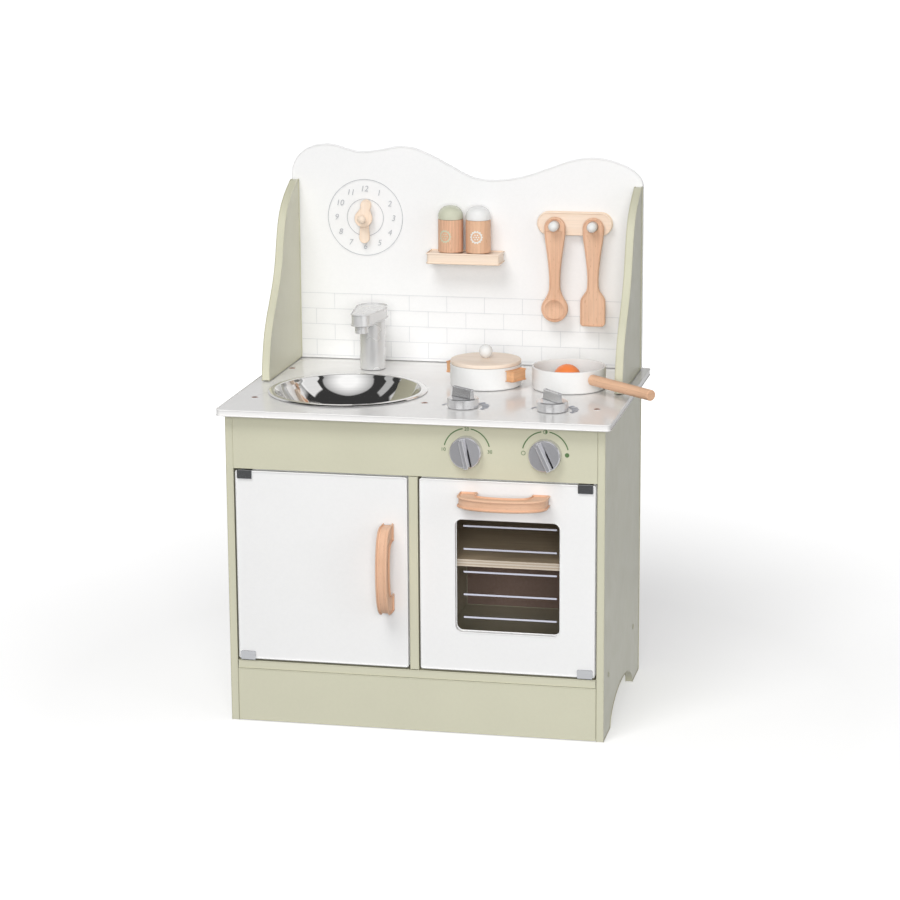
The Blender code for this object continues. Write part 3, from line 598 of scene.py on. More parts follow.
# ------------------------------------------------------------------ cabinet
CAB_W, CAB_D, SIDE_T = 500.0, 322.0, 10.0
TOP_Z, TOP_T = 426.0, 9.0
SIDE_TOP = TOP_Z - TOP_T - GAP
ARCH_C, ARCH_A, ARCH_H = 161.0, 99.0, 35.0
INNER = CAB_W / 2 - SIDE_T
IN = INNER - GAP
foot = arc(1.0, 1.0, 1.0, 180, 270, 3) + [(ARCH_C - ARCH_A - 1.0, 0.0), (ARCH_C - ARCH_A, 0.4)]
foot += [(ARCH_C - ARCH_A * cos(pi * i / 72), ARCH_H * sin(pi * i / 72)) for i in range(1, 72)]
foot += [(ARCH_C + ARCH_A, 0.4), (ARCH_C + ARCH_A + 1.0, 0.0)] + arc(CAB_D - 1, 1, 1, 270, 360, 3)
foot += [(CAB_D, SIDE_TOP), (0.0, SIDE_TOP)]
side_holes = []
for side, name in ((-1, "side_panel_left"), (1, "side_panel_right")):
    put(name + "_board", plate_bm(foot, [], SIDE_T, "YZ", (side * (CAB_W / 2 - SIDE_T / 2), 0, 0), 0.8), "sage", ROOT, name)
    # assembly screw heads, painted over, in the side panel's face
    heads = []
    for y, z in ((45.0, 78.5), (266.0, 78.5)):
        rim = fillet([(0, -0.35), (2.2, -0.35), (2.6, 0.16, 0.3), (3.4, 0.12, 0.4), (3.6, -0.5)], 3)
        m = Euler((0, side * pi / 2, 0)).to_matrix()
        heads.append(lathe_bm([(0, -0.35)] + rim[1:] + [(0, -0.5)], (side * (CAB_W / 2), y, z), m, 32))
    put(name + "_screws", join_bm(heads), "sage", ROOT, None, "sage_paint")

board("bottom_board_fine", -IN, IN, 0, 316.0, 73, 84, "XY", "sage", "bottom_board")
board("plinth_board_fine", -IN, IN, 0, 10, 1.5, 72.7, "XZ", "sage", "plinth_board")
board("fascia_board_fine", -IN - 0.26, IN + 0.26, 0, 10, 345, SIDE_TOP, "XZ", "sage", "fascia_board", bevel=0.3, corner=0.15)
div = [(0.0, 84.3), (316.0, 84.3), (316.0, SIDE_TOP), (10.3, SIDE_TOP), (10.3, 344.7), (0.0, 344.7)]
put("center_divider_fine", plate_bm(div, [], 12.0, "YZ", (0, 0, 0), 0.7), "sage", ROOT, "center_divider")
board("back_board_fine", -IN, IN, 316.3, 319.3, 60, SIDE_TOP, "XZ", "hardboard", "back_board", 0.3)
board("oven_shelf_fine", 6.3, IN, 20, 316, 222.5, 232, "XY", "ply", "oven_shelf", 0.4)
board("cleat_left_fine", -IN, -IN + 20, 20, 300, SIDE_TOP - 20, SIDE_TOP, "XY", "beech_x", "cleat_left", 0.6)
board("cleat_right_fine", IN - 20, IN, 20, 300, SIDE_TOP - 20, SIDE_TOP, "XY", "beech_x", "cleat_right", 0.6)
# nails that hold the hardboard back
nails = []
for x in [-232 + 58 * i for i in range(9)]:
    for z in (78.5, 408.0):
        nails.append(lathe_bm([(0, 0.6), (1.6, 0.45), (2.1, 0.0), (2.1, -0.3), (0, -0.3)], (x, 319.3, z), Euler((-pi / 2, 0, 0)).to_matrix(), 16))
for z in (140, 200, 260, 320, 370):
    for x in (-234.5, 0, 234.5):
        nails.append(lathe_bm([(0, 0.6), (1.6, 0.45), (2.1, 0.0), (2.1, -0.3), (0, -0.3)], (x, 319.3, z), Euler((-pi / 2, 0, 0)).to_matrix(), 16))
put("back_board_nails", join_bm(nails), "zinc", ROOT, None, "copper_screw")

# ------------------------------------------------------------------ countertop, screws, sink
SCREWS = [(-228.0, 67.0), (-229.0, 262.0), (0.0, 73.0), (227.0, 75.0), (228.0, 262.0)]
SX, SY, SR = -117.0, 130.0, 106.5
put("countertop_fine", plate_bm(rounded(-259, 259, -17, 353, 8, 12), [circle(SX, SY, 99.5, 128)] + [circle(x, y, 4.6, 32) for x, y in SCREWS],
                                TOP_T, "XY", (0, 0, TOP_Z - TOP_T / 2), 1.1, 4, 0.35), "top", ROOT, "countertop")
for i, (x, y) in enumerate(SCREWS, 1):
    prof = fillet([(0, -0.15), (1.0, -0.15), (1.3, 0.22, 0.2), (3.6, 0.22, 0.5), (4.3, -0.35, 0.3), (4.3, -0.9), (2.0, -3.4), (2.0, -22.5), (0, -24)], 3)
    put("countertop_screw_%d_fine" % i, lathe_bm(prof, (x, y, TOP_Z), None, 32), "copper", ROOT, "countertop_screw_%d" % i)
    # dark cross over each screw head: painted shade of the cross recess
    wings = []
    cross_slot(wings, x, y, TOP_Z + 0.24, 1.9, 0.10)
    put("countertop_screw_%d_cross" % i, join_bm(wings), "magnet", ROOT, None, "copper_screw")

D = 62.0
BALL = (96.0 ** 2 + (D - 0.8) ** 2) / (2 * (D - 0.8))          # the bowl is part of a ball
edge = asin(96.0 / BALL)
bowl = [(0, -D + 0.8)]
bowl += [(BALL * sin(edge * k / 48), -D + 0.8 + BALL * (1 - cos(edge * k / 48))) for k in range(1, 48)]
rim = fillet([(96.3, -0.4), (97.6, 1.9, 1.0), (99.5, 2.6, 2.0), (104.2, 2.2, 2.0), (SR, 0.9, 0.8), (SR, 0.4, 0.15), (105.4, 0.4)], 5)
under = [(104.5, 1.2), (99.8, 1.6), (98.4, 0.8)]
out_bowl = [(r + 0.9, z - 0.9) for r, z in reversed(bowl[1:])] + [(0, -D - 0.2)]
put("sink_bowl_fine", lathe_bm(bowl + rim + under + out_bowl, (SX, SY, TOP_Z), None, 160), "steel", ROOT, "sink_bowl", angle=50, weighted=False)

# ------------------------------------------------------------------ tap
TX, TY, TR, TZ1 = -119.0, 281.0, 17.5, 497.5
put("faucet_column_fine", lathe_bm(fillet([(0, TZ1 - GAP), (TR, TZ1 - GAP, 0.8), (TR, TOP_Z + GAP, 0.8), (0, TOP_Z + GAP)], 4),
                                   (TX, TY, 0), None, 96), "tap", ROOT, "faucet_column")
BIG, SMALL, REACH = 22.0, 14.8, 281.0 - 219.0
lean = degrees(acos((BIG - SMALL) / REACH))
head = arc(TX, TY, BIG, -90 + lean, 270 - lean, 44) + arc(TX, TY - REACH, SMALL, 270 - lean, 270 + lean, 28)
nozzle = lathe_bm(fillet([(0, 0.5), (9, 0.5), (9, -10.5, 0.9), (6.6, -10.5, 0.5), (6.6, -5.5, 0.5), (0, -5.5)], 4), (TX, TY - REACH, TZ1), None, 64)
put("faucet_head_fine", join_bm([plate_bm(head, [], 16.7, "XY", (0, 0, TZ1 + 8.35), 1.2, 5), nozzle]), "tap", "tap_spout", "faucet_head")


# ------------------------------------------------------------------ knobs and dials
def knob(node, centre, rot, turn, mat):
    """Round base with a straight grip bar across it."""
    body = BODY_OF[node]
    prof = fillet([(0, 12.5), (19.2, 12.5, 0.4), (20.5, 11.3, 0.5), (20.5, 0.7, 0.3), (19.8, 0.0, 0.2), (0, 0)], 4)
    put(node + "_base", lathe_bm(prof, centre, rot, 96), mat, body, node)
    t = radians(turn)
    bar = rounded(-19.0, 19.0, -3.9, 3.9, 0.9, 4)
    bar = [(x * cos(t) - y * sin(t), x * sin(t) + y * cos(t)) for x, y in bar]
    bm = plate_bm(bar, [], 13.5, "XY", (0, 0, 12.5 + 12.5 - 13.5 / 2), 1.0, 4)
    side = Vector((-sin(t), cos(t), 0))
    for v in bm.verts:                       # the bar is thinner towards its top
        across = v.co.dot(side)
        v.co += side * across * (0.30 - 0.60 * min(1.0, max(0.0, (v.co.z - 12.5) / 12.5)))
    bm.transform(Matrix.Translation(Vector(centre)) @ rot.to_4x4())
    put(node + "_grip", bm, mat, body, node)


IDENT = Matrix.Identity(3)
FRONT = Euler((pi / 2, 0, 0)).to_matrix()
KNOBS = [("stove_knob_left", 54.5, 57.5, -38.0), ("stove_knob_right", 172.0, 57.5, -48.0)]
DIALS = [("oven_dial_left", 71.0, 381.0, -12.0), ("oven_dial_right", 173.5, 381.0, -25.0)]
for n, x, y, t in KNOBS:
    knob(n, (x, y, TOP_Z + GAP), IDENT, t, "silver")
# the dials take the darker silver, whose colour holds painted shade
for n, x, z, t in DIALS:
    knob(n, (x, -GAP, z), FRONT, 90 - t, "silver_dial_shaded")


# ------------------------------------------------------------------ prints
PR = 0.07      # print thickness


def band(cx, cy, r, w, a0, a1, n, w1=None):
    """Arc band from a0 to a1 degrees; width may grow from w to w1 outward."""
    w1 = w if w1 is None else w1
    inner = arc(cx, cy, r, a0, a1, n)
    outer = [(cx + (r + w + (w1 - w) * i / n) * cos(radians(a0 + (a1 - a0) * i / n)),
              cy + (r + w + (w1 - w) * i / n) * sin(radians(a0 + (a1 - a0) * i / n))) for i in range(n + 1)]
    return inner + list(reversed(outer))


def flat_print(name, outlines, plane, at, mat, slot, body=ROOT):
    """outlines: list of (outer, [holes])"""
    return put(name, join_bm([plate_bm(o, h, PR, plane, at, 0, 1) for o, h in outlines]), mat, body, None, slot, weighted=False)


def text_bm(txt, size, shear=0.0, bold=0.0):
    cu = bpy.data.curves.new("tmp_text", "FONT")
    cu.body = txt
    cu.size = size
    cu.align_x = "CENTER"
    cu.align_y = "CENTER"
    cu.shear = shear
    cu.offset = bold
    cu.extrude = PR / 2
    cu.resolution_u = 6
    ob = bpy.data.objects.new("tmp_text", cu)
    scene.collection.objects.link(ob)
    bpy.context.view_layer.update()
    me = bpy.data.meshes.new_from_object(ob.evaluated_get(bpy.context.evaluated_depsgraph_get()))
    bm = bmesh.new()
    bm.from_mesh(me)
    bmesh.ops.remove_doubles(bm, verts=bm.verts, dist=1e-4)
    bmesh.ops.recalc_face_normals(bm, faces=bm.faces)
    bpy.data.objects.remove(ob, do_unlink=True)
    bpy.data.meshes.remove(me)
    bpy.data.curves.remove(cu)
    # centre it on its own box
    xs = [v.co.x for v in bm.verts]
    ys = [v.co.y for v in bm.verts]
    bmesh.ops.translate(bm, verts=bm.verts, vec=(-(min(xs) + max(xs)) / 2, -(min(ys) + max(ys)) / 2, 0))
    return bm


PANEL_FACE = 342.0
CX, CZ = -141.9, 626.6
yp = PANEL_FACE - PR / 2 - 0.01
flat_print("clock_rings", [(circle(CX, CZ, 53.4, 160), [circle(CX, CZ, 52.6, 160)]),
                           (circle(CX, CZ, 26.2, 96), [circle(CX, CZ, 25.4, 96)])], "XZ", (0, yp, 0), "ink_grey", "white_paint")
nums = []
for i in range(1, 13):
    a = radians(90 - 30 * i)
    bm = text_bm(str(i), 11.6, 0.22, -0.02)
    bm.transform(Matrix.Translation((CX + 40.3 * cos(a), yp, CZ + 40.3 * sin(a))) @ FRONT.to_4x4())
    nums.append(bm)
put("clock_numerals", join_bm(nums), "ink_grey", ROOT, None, "white_paint", weighted=False)

LW = 0.55
rows = [518.5, 496.5, 474.5, 452.3, 430.0]
tiles = []
for z in rows:
    tiles.append(([(-235.2, z - LW / 2), (235.2, z - LW / 2), (235.2, z + LW / 2), (-235.2, z + LW / 2)], []))
for k, (z1, z0) in enumerate(zip(rows, rows[1:])):
    x = -187.6 if k % 2 == 0 else -214.1
    while x < 234:
        tiles.append(([(x - LW / 2, z0 + LW / 2), (x + LW / 2, z0 + LW / 2), (x + LW / 2, z1 - LW / 2), (x - LW / 2, z1 - LW / 2)], []))
        x += 53.55
flat_print("tile_lines", tiles, "XZ", (0, yp, 0), "ink_tile", "white_paint")

# dial scales on the fascia
yf = -PR / 2 - 0.01
for name, x in (("left", 71.0), ("right", 173.5)):
    xa = x if name == "left" else x - 0.6
    flat_print("dial_scale_" + name, [(band(xa, 380.5, 29.4, 1.45, 14, 80, 40), []), (band(xa, 380.5, 29.4, 1.45, 100, 166, 40), [])],
               "XZ", (0, yf, 0), "ink_green", "sage_paint")
marks = []
for txt, x, z in (("10", 40.8, 382.4), ("20", 71.0, 410.0), ("30", 101.0, 381.2)):
    bm = text_bm(txt, 6.6, 0, 0.03)
    bm.transform(Matrix.Translation((x, yf, z)) @ FRONT.to_4x4())
    marks.append(bm)
put("dial_numbers_left", join_bm(marks), "ink_green", ROOT, None, "sage_paint", weighted=False)
flat_print("dial_symbols_right", [(circle(144.4, 381.6, 2.9, 32), [circle(144.4, 381.6, 2.2, 32)]),
                                  (circle(172.9, 410.2, 2.9, 32), [circle(172.9, 410.2, 2.2, 32)]),
                                  (arc(172.9, 410.2, 2.0, -90, 90, 16), []),
                                  (circle(200.9, 381.0, 2.9, 32), [])], "XZ", (0, yf, 0), "ink_green", "sage_paint")
# stove scales on the countertop: a growing wedge to the right, a small tick to the left
zt = TOP_Z + PR / 2 + 0.01
for name, (x, y) in (("left", (54.5, 57.5)), ("right", (172.0, 57.5))):
    outl = []
    for k in range(5):
        a0 = -20 + k * 17
        outl.append((band(x, y, 25.0, 4.6 + k * 1.9, a0, a0 + 9.0, 8, 4.6 + (k + 1) * 1.9), []))
    outl.append((band(x, y, 28.0, 2.3, 138, 168, 16), []))
    flat_print("stove_scale_" + name, outl, "XY", (0, 0, zt), "ink_blue", "white_paint")

# ------------------------------------------------------------------ doors
DZ0, DZ1 = 86.5, 342.5
put("cupboard_door_fine", plate_bm(rounded(-238, -8, DZ0, DZ1, 3, 6), [], 12.0, "XZ", (0, 6, 0), 1.3, 4), "white", "cupboard_door_unit", "cupboard_door")
put("oven_door_fine", plate_bm(rounded(8, 238, DZ0, DZ1, 3, 6), [rounded(55, 191.5, 139.5, 290, 8.5, 10)], 12.0, "XZ", (0, 6, 0), 1.3, 4, 1.0),
    "white", "oven_door_unit", "oven_door")
board("oven_window_fine", 45, 201.5, 12.3, 14.3, 129.5, 300, "XZ", "acrylic", "oven_window", 0.25, 2.0, "oven_door_unit")
bars = []
for z in (278.8, 248.1, 217.4, 187.0, 156.3):
    bars.append((rounded(63.6, 186.0, z - 1.15, z + 1.15, 0.3, 2), []))
flat_print("oven_window_lines", bars, "XZ", (0, 12.3 - PR / 2 - 0.01, 0), "ink_line", "white_paint", "oven_door_unit")
# screws that hold the window pane, and the plates the magnets meet
pane_screws = []
for x in (50.0, 196.5):
    for z in (134.5, 214.7, 295.0):
        pane_screws.append(lathe_bm(fillet([(0, 1.1), (1.0, 1.1), (1.2, 1.5, 0.2), (2.4, 1.2, 0.4), (2.9, 0.0), (0, 0)], 3),
                                    (x, 14.3, z), Euler((-pi / 2, 0, 0)).to_matrix(), 24))
put("oven_window_screws", join_bm(pane_screws), "zinc", "oven_door_unit", None, "polished_steel")
for name, x, body in (("cupboard", -12.5, "cupboard_door_unit"), ("oven", 12.5, "oven_door_unit")):
    put(name + "_strike_plate", plate_bm(rounded(x - 3.9, x + 3.9, 298, 320, 1.0, 3), [circle(x, 309, 1.4, 16)], 0.5, "XZ", (0, 12.3, 0), 0.12, 2),
        "zinc", body, None, "polished_steel")


def bow():
    """Bow handle from the side: along its length, and out from the door."""
    h = 59.0
    outer = [(h, GAP), (h, 10.0), (h, 19.0), (h - 1.2, 24.5), (h - 4.6, 30.0), (h - 10.2, 35.0), (h - 19.0, 39.5), (h - 33.0, 43.4), (h - 46.0, 45.2), (0.0, 46.0)]
    inner = [(0.0, 24.2), (13.0, 23.7), (23.0, 22.0), (29.5, 19.6), (33.3, 15.6), (34.8, 10.5), (35.0, 5.0), (35.0, GAP)]
    o, i = smooth_line(outer, 6), smooth_line(inner, 5)
    return o + [(-x, y) for x, y in reversed(o)][1:] + [(-x, y) for x, y in reversed(i)][:-1] + i


B = bow()
put("cupboard_handle_fine", plate_bm([(-y, 222.0 + x) for x, y in B], [], 15.5, "YZ", (-33.3, 0, 0), 2.2, 5), "beech_z", "cupboard_door_unit", "cupboard_handle")
put("oven_handle_fine", plate_bm([(120.7 + x, -y) for x, y in B], [], 15.5, "XY", (0, 0, 320.3), 2.2, 5), "beech_x", "oven_door_unit", "oven_handle")

for node, side, up in (("cupboard_hinge_top", -1, 1), ("cupboard_hinge_bottom", -1, -1), ("oven_hinge_top", 1, 1), ("oven_hinge_bottom", 1, -1)):
    edge = DZ1 if up > 0 else DZ0
    x0, x1 = side * 225 - 10, side * 225 + 10
    z0, z1 = (edge - 11, edge + 1.1) if up > 0 else (edge - 1.1, edge + 11)
    parts = [plate_bm(rounded(x0, x1, z0, z1, 1.4, 4), [], 0.9, "XZ", (0, -0.75, 0), 0.25, 3)]
    zf = edge + up * 0.7
    parts.append(plate_bm(rounded(x0 + 0.3, x1 - 0.3, -1.0, 10.5, 1.4, 4), [], 0.8, "XY", (0, 0, zf), 0.2, 2))
    a, b = (edge + 0.7, edge + 6.0) if up > 0 else (edge - 6.0, edge - 0.7)
    parts.append(lathe_bm(fillet([(0, b), (1.5, b, 0.4), (1.5, a, 0.4), (0, a)], 3), (side * 228.5, 6, 0), None, 24))
    put(node + "_fine", join_bm(parts), "hinge", BODY_OF[node], node)

for node, s in (("cupboard_catch", -1), ("oven_catch", 1)):
    xa, xb = (6.3, 17.3) if s > 0 else (-17.3, -6.3)
    xm = (xa + xb) / 2
    put(node + "_fine", plate_bm(rounded(xa, xb, 296, 322, 1.2, 4), [], 13.0, "XZ", (0, 19.5, 0), 0.8, 3), "plastic", ROOT, node)
    put(node + "_magnet", plate_bm(rounded(xm - 2.6, xm + 2.6, 300, 318, 0.4, 2), [], 0.3, "XZ", (0, 12.9, 0), 0.1, 2), "magnet", ROOT, None, "white_plastic")

# ------------------------------------------------------------------ splashback and wings
HW = 246.5
WAVE = [(-HW, 684), (-245.0, 697), (-236.5, 712), (-222, 723), (-202, 727.8), (-184, 726.8),
        (-165, 721.2), (-145, 718.2), (-120, 721.6), (-97, 726), (-80, 725.8), (-66, 722.6),
        (-44, 713.2), (-22, 701.8), (2, 689.2), (22, 683.6), (43, 682.6), (71, 686.2), (94, 692.4),
        (117, 701), (140, 709.4), (161, 714.4), (179, 715.8), (198, 713.8), (218, 707.4),
        (231, 701), (240.5, 692.8), (245.5, 684.5), (HW, 677)]
wave = smooth_line(WAVE, 5)
put("splashback_fine", plate_bm([(-HW, TOP_Z + GAP), (HW, TOP_Z + GAP)] + list(reversed(wave)), [], 11.0, "XZ", (0, 347.5, 0), 1.2, 4),
    "panel", ROOT, "splashback_panel")
board("splashback_foot_fine", -HW + 1.5, HW - 1.5, 342.05, 346.0, TOP_Z + 0.05, TOP_Z + 3.0, "XZ", "panel",
      "splashback_panel", 0.12, 0.1)
WE = [(166.5, TOP_Z + GAP), (168.5, 445), (173.0, 464), (181.0, 486), (194.5, 508), (212.0, 529),
      (230.0, 552), (243.0, 576), (252.0, 603), (262.5, 629), (278.0, 649), (302.0, 665.5), (331.0, 679)]
wo = smooth_line(WE, 6) + [(341.7, 679), (341.7, TOP_Z + GAP)]
for side, name in ((-1, "wing_left"), (1, "wing_right")):
    put(name + "_fine", plate_bm(wo, [], 11.0, "YZ", (side * (HW - 5.5), 0, 0), 1.1, 4), "sage", ROOT, name)


# ------------------------------------------------------------------ clock hands
def hand(length, hub, width, tip, turn):
    """Round hub, waist and a round tip, pointing up and turned."""
    right = [(hub * 0.86, hub * 0.52), (width * 0.50, hub * 0.98), (width * 0.46, hub * 1.25),
             (width * 0.52, length * 0.62), (tip, length - tip)]
    r = smooth_line(right, 6)
    pts = arc(0, 0, hub, 149, 391, 40)[:-1] + r + arc(0, length - tip, tip, 0, 180, 20)[1:-1] + [(-x, y) for x, y in reversed(r)]
    a = radians(turn)
    return [(CX + x * cos(a) - z * sin(a), 626.8 + x * sin(a) + z * cos(a)) for x, z in pts]


put("clock_minute_hand_fine", plate_bm(hand(35.4, 11.0, 13.0, 7.0, 180), [circle(CX, 626.8, 2.9, 32)], 5.0, "XZ", (0, 336.4, 0), 0.9, 4),
    "pale_z", "minute_hand", "clock_minute_hand")
put("clock_hour_hand_fine", plate_bm(hand(26.8, 12.3, 14.5, 7.3, -11.4), [circle(CX, 626.8, 2.9, 32)], 5.0, "XZ", (0, 330.9, 0), 0.9, 4),
    "pale_z", "hour_hand", "clock_hour_hand")
prof = [(0, 27.2)] + [(5.8 * sin(radians(a)), 21.4 + 5.8 * cos(radians(a))) for a in range(6, 152, 6)] + [(2.6, 16.4), (2.6, 0.2), (2.4, 0), (0, 0)]
put("clock_peg_fine", lathe_bm(prof, (CX, 341.7, 626.8), FRONT, 48), "pale_z", ROOT, "clock_peg")

# ------------------------------------------------------------------ spice shelf and shakers
so = arc(-43.7, 308.7, 5, 180, 270, 8) + arc(50.5, 308.7, 5, 270, 360, 8) + [(55.5, 341.7), (-48.7, 341.7)]
put("spice_shelf_fine", plate_bm(so, [], 15.5, "XY", (0, 0, 577.7), 1.6, 4), "pale_x", ROOT, "spice_shelf")
SH = 585.8
for who, x, cap, wd, badge, spin in (("pepper", -16.6, "sage_cap", "shaker_a", "ink_pale", -106.0), ("salt", 22.1, "white_gloss", "shaker_b", "ink_white", -88.0)):
    body = who + "_shaker"
    put(who + "_body_fine", lathe_bm(fillet([(0, 630.7), (17.25, 630.7, 0.4), (17.25, SH, 1.0), (0, SH)], 4), (x, 322, 0), None, 96), wd, body, who + "_body")
    dome = [(0, 649.5)] + [(17.25 * sin(radians(a)) ** 0.85, 634.5 + 15.0 * cos(radians(a))) for a in range(4, 91, 4)] + [(17.25, 634.5)]
    put(who + "_cap_fine", lathe_bm(dome + [(17.25, 631.4), (16.9, 631.0), (0, 631.0)], (x, 322, 0), None, 96), cap, body, who + "_cap", weighted=False)
    # round badge with a scalloped rim and a ring of dots, wrapped round the barrel
    zc, rb = 608.5, 8.6
    shapes = []
    scallop = [((rb + 0.7 * cos(14 * t)) * cos(t), (rb + 0.7 * cos(14 * t)) * sin(t)) for t in [2 * pi * i / 168 for i in range(168)]]
    shapes.append((scallop, [circle(0, 0, 6.3, 48)]))
    for k in range(6):
        t = 2 * pi * k / 6
        shapes.append((circle(3.4 * cos(t), 3.4 * sin(t), 0.95, 16), []))
    shapes.append((circle(0, 0, 0.95, 16), []))
    bms = []
    for o, h in shapes:
        b = plate_bm(o, h, PR, "XY", (0, 0, 0), 0, 1)
        bmesh.ops.subdivide_edges(b, edges=[e for e in b.edges if e.calc_length() > 2.5], cuts=3, use_grid_fill=False)
        bmesh.ops.triangulate(b, faces=b.faces)
        for v in b.verts:
            a = v.co.x / 17.25 + radians(spin)
            rr = 17.25 + 0.06 + v.co.z
            v.co = Vector((x + rr * cos(a), 322 + rr * sin(a), zc + v.co.y))
        bmesh.ops.recalc_face_normals(b, faces=b.faces)
        bms.append(b)
    put(who + "_badge", join_bm(bms), badge, body, None, "white_paint", weighted=False)

# ------------------------------------------------------------------ utensil rail
RX, RZ, RH, RT = 154.0, 626.4, 32.0, 11.0
half = 52.0 - 16.0
stad = arc(RX + half, RZ, RH / 2, -90, 90, 32) + arc(RX - half, RZ, RH / 2, 90, 270, 32)
put("utensil_rail_fine", plate_bm(stad, [], RT, "XZ", (0, 341.7 - RT / 2, 0), 1.5, 4), "pale_x", ROOT, "utensil_rail")
PEGX, PEGZ = (128.3, 181.3), 625.0
prof = [(0, 26.4), (1.2, 26.3), (2.6, 25.9), (4.0, 25.2), (5.2, 24.1), (6.1, 22.7), (6.7, 21.1), (7.0, 19.2), (7.0, 0.6), (6.7, 0.3), (0, 0.3)]
for name, x in zip(("rail_peg_left", "rail_peg_right"), PEGX):
    put(name + "_fine", lathe_bm(prof, (x, 341.7 - RT, PEGZ), FRONT, 48), "white_gloss", ROOT, name)

HZ, UY = 622.0, 324.0
hs = smooth_line([(14.4, HZ), (13.6, 608), (11.2, 590), (8.9, 572), (7.6, 556), (7.3, 544), (8.2, 534), (11.6, 526), (15.4, 520.0)], 6)
bz, br = 509.5, 18.4
so = arc(0, HZ, 14.4, 0, 180, 32)[:-1] + [(-x, z) for x, z in hs] + arc(0, bz, br, 148, 392, 56)[1:-1] + list(reversed(hs))
so = [(x + PEGX[0], z) for x, z in so]
put("spoon_fine", plate_bm(so, [circle(PEGX[0], PEGZ, 7.35, 40)], 8.0, "XZ", (0, UY, 0), 1.9, 5, 0.6, dishes=[(PEGX[0], bz - 0.4, 13.2, 5.6)]),
    "beech_z", "hanging_spoon", "spoon")
sl = smooth_line([(14.4, HZ), (13.6, 608), (11.0, 590), (8.8, 572), (7.6, 558), (7.4, 546), (8.6, 537), (12.8, 530.5), (16.4, 524.5), (17.2, 517)], 6)
sp = arc(0, HZ, 14.4, 0, 180, 32)[:-1] + [(-x, z) for x, z in sl] + arc(-12.2, 491.8, 5, 180, 270, 8) + arc(12.2, 491.8, 5, 270, 360, 8) + list(reversed(sl))
sp = [(x + PEGX[1], z) for x, z in sp]
put("spatula_fine", plate_bm(sp, [circle(PEGX[1], PEGZ, 7.35, 40)], 8.0, "XZ", (0, UY, 0), 1.6, 5, 0.6), "beech_z2", "hanging_spatula", "spatula")

# ------------------------------------------------------------------ pot and lid
PX, PY, PRAD, PH = 56.0, 202.0, 48.0, 29.5
Z0 = TOP_Z + GAP
Z1 = Z0 + PH
put("pot_body_fine", lathe_bm(fillet([(0, Z0 + 3), (PRAD - 3.2, Z0 + 3, 0.8), (PRAD - 2.8, Z1, 0.8), (PRAD, Z1, 0.8), (PRAD, Z0, 2.4), (0, Z0)], 5),
                              (PX, PY, 0), None, 128), "white_gloss", "pot", "pot_body")
LR = 47.6
put("pot_lid_fine", lathe_bm(fillet([(0, Z1 + 6.6), (38, Z1 + 6.35, 12), (LR, Z1 + 5.2, 1.6), (LR, Z1 + GAP, 0.8), (43.6, Z1 + GAP, 0.3), (43.2, Z1 - 3, 0.8), (0, Z1 - 3)], 6),
                             (PX, PY, 0), None, 128), "lid", "lid", "pot_lid")
KB = Z1 + 6.9
prof = [(0, KB + 18.0)] + [(9.1 * sin(radians(a)), KB + 8.9 + 9.1 * cos(radians(a))) for a in range(6, 156, 6)] + [(4.0, KB + 0.4), (3.6, KB), (0, KB)]
put("lid_knob_fine", lathe_bm(prof, (PX, PY, 0), None, 64), "white_gloss", "lid", "lid_knob", weighted=False)
for name, ang in (("pot_handle_right", -28.0), ("pot_handle_left", 152.0)):
    ia = arc(0, 0, PRAD + GAP, -19.0, 19.0, 20)
    outl = fillet([(PRAD + 1.0, -15.8), (PRAD + 8.5, -15.8, 1.2), (PRAD + 11.0, -13.0, 1.6), (PRAD + 11.0, 13.0, 1.6), (PRAD + 8.5, 15.8, 1.2), (PRAD + 1.0, 15.8)], 4)[1:-1] + list(reversed(ia))
    a = radians(ang)
    outl = [(PX + x * cos(a) - y * sin(a), PY + x * sin(a) + y * cos(a)) for x, y in outl]
    put(name + "_fine", plate_bm(outl, [], 15.0, "XY", (0, 0, 445.5), 1.2, 4), "pot_grip", "pot", name)

# ------------------------------------------------------------------ pan with fried egg
QX, QY, QR, QH = 169.0, 202.0, 49.5, 29.7
Z1 = Z0 + QH
put("pan_body_fine", lathe_bm(fillet([(0, Z0 + 3), (QR - 3.4, Z0 + 3, 1.0), (QR - 2.5, Z1, 0.9), (QR, Z1, 0.9), (QR, Z0, 2.4), (0, Z0)], 5),
                              (QX, QY, 0), None, 128), "white_gloss", "pan", "pan_body")
EX, EY_, HR = 296.0, 84.5, 7.2
dx, dy = EX - QX, EY_ - QY
ln, ht = hypot(dx, dy), atan2(dy, dx)
rot = Euler((0, pi / 2, ht)).to_matrix()
MAT["beech_pan"] = wood("beech_pan_handle", (0.86, 0.55, 0.36), (0.74, 0.43, 0.27), BEECH_D, (0, 0, -ht), seed=0.29, contrast=1.1)
prof = fillet([(0, ln), (HR, ln, 1.1), (HR, QR + 1.0, 0.3), (0, QR + 1.0)], 5)
put("pan_handle_fine", lathe_bm(prof, (QX, QY, 444.5), rot, 64), "beech_pan", "pan", "pan_handle")
collar = fillet([(0, QR + 1.0), (4.2, QR + 1.0), (4.2, QR - 0.2), (0, QR - 0.2)], 3)
put("pan_handle_dowel", lathe_bm(collar, (QX, QY, 444.5), rot, 32), "beech_pan", "pan", None, "beech")

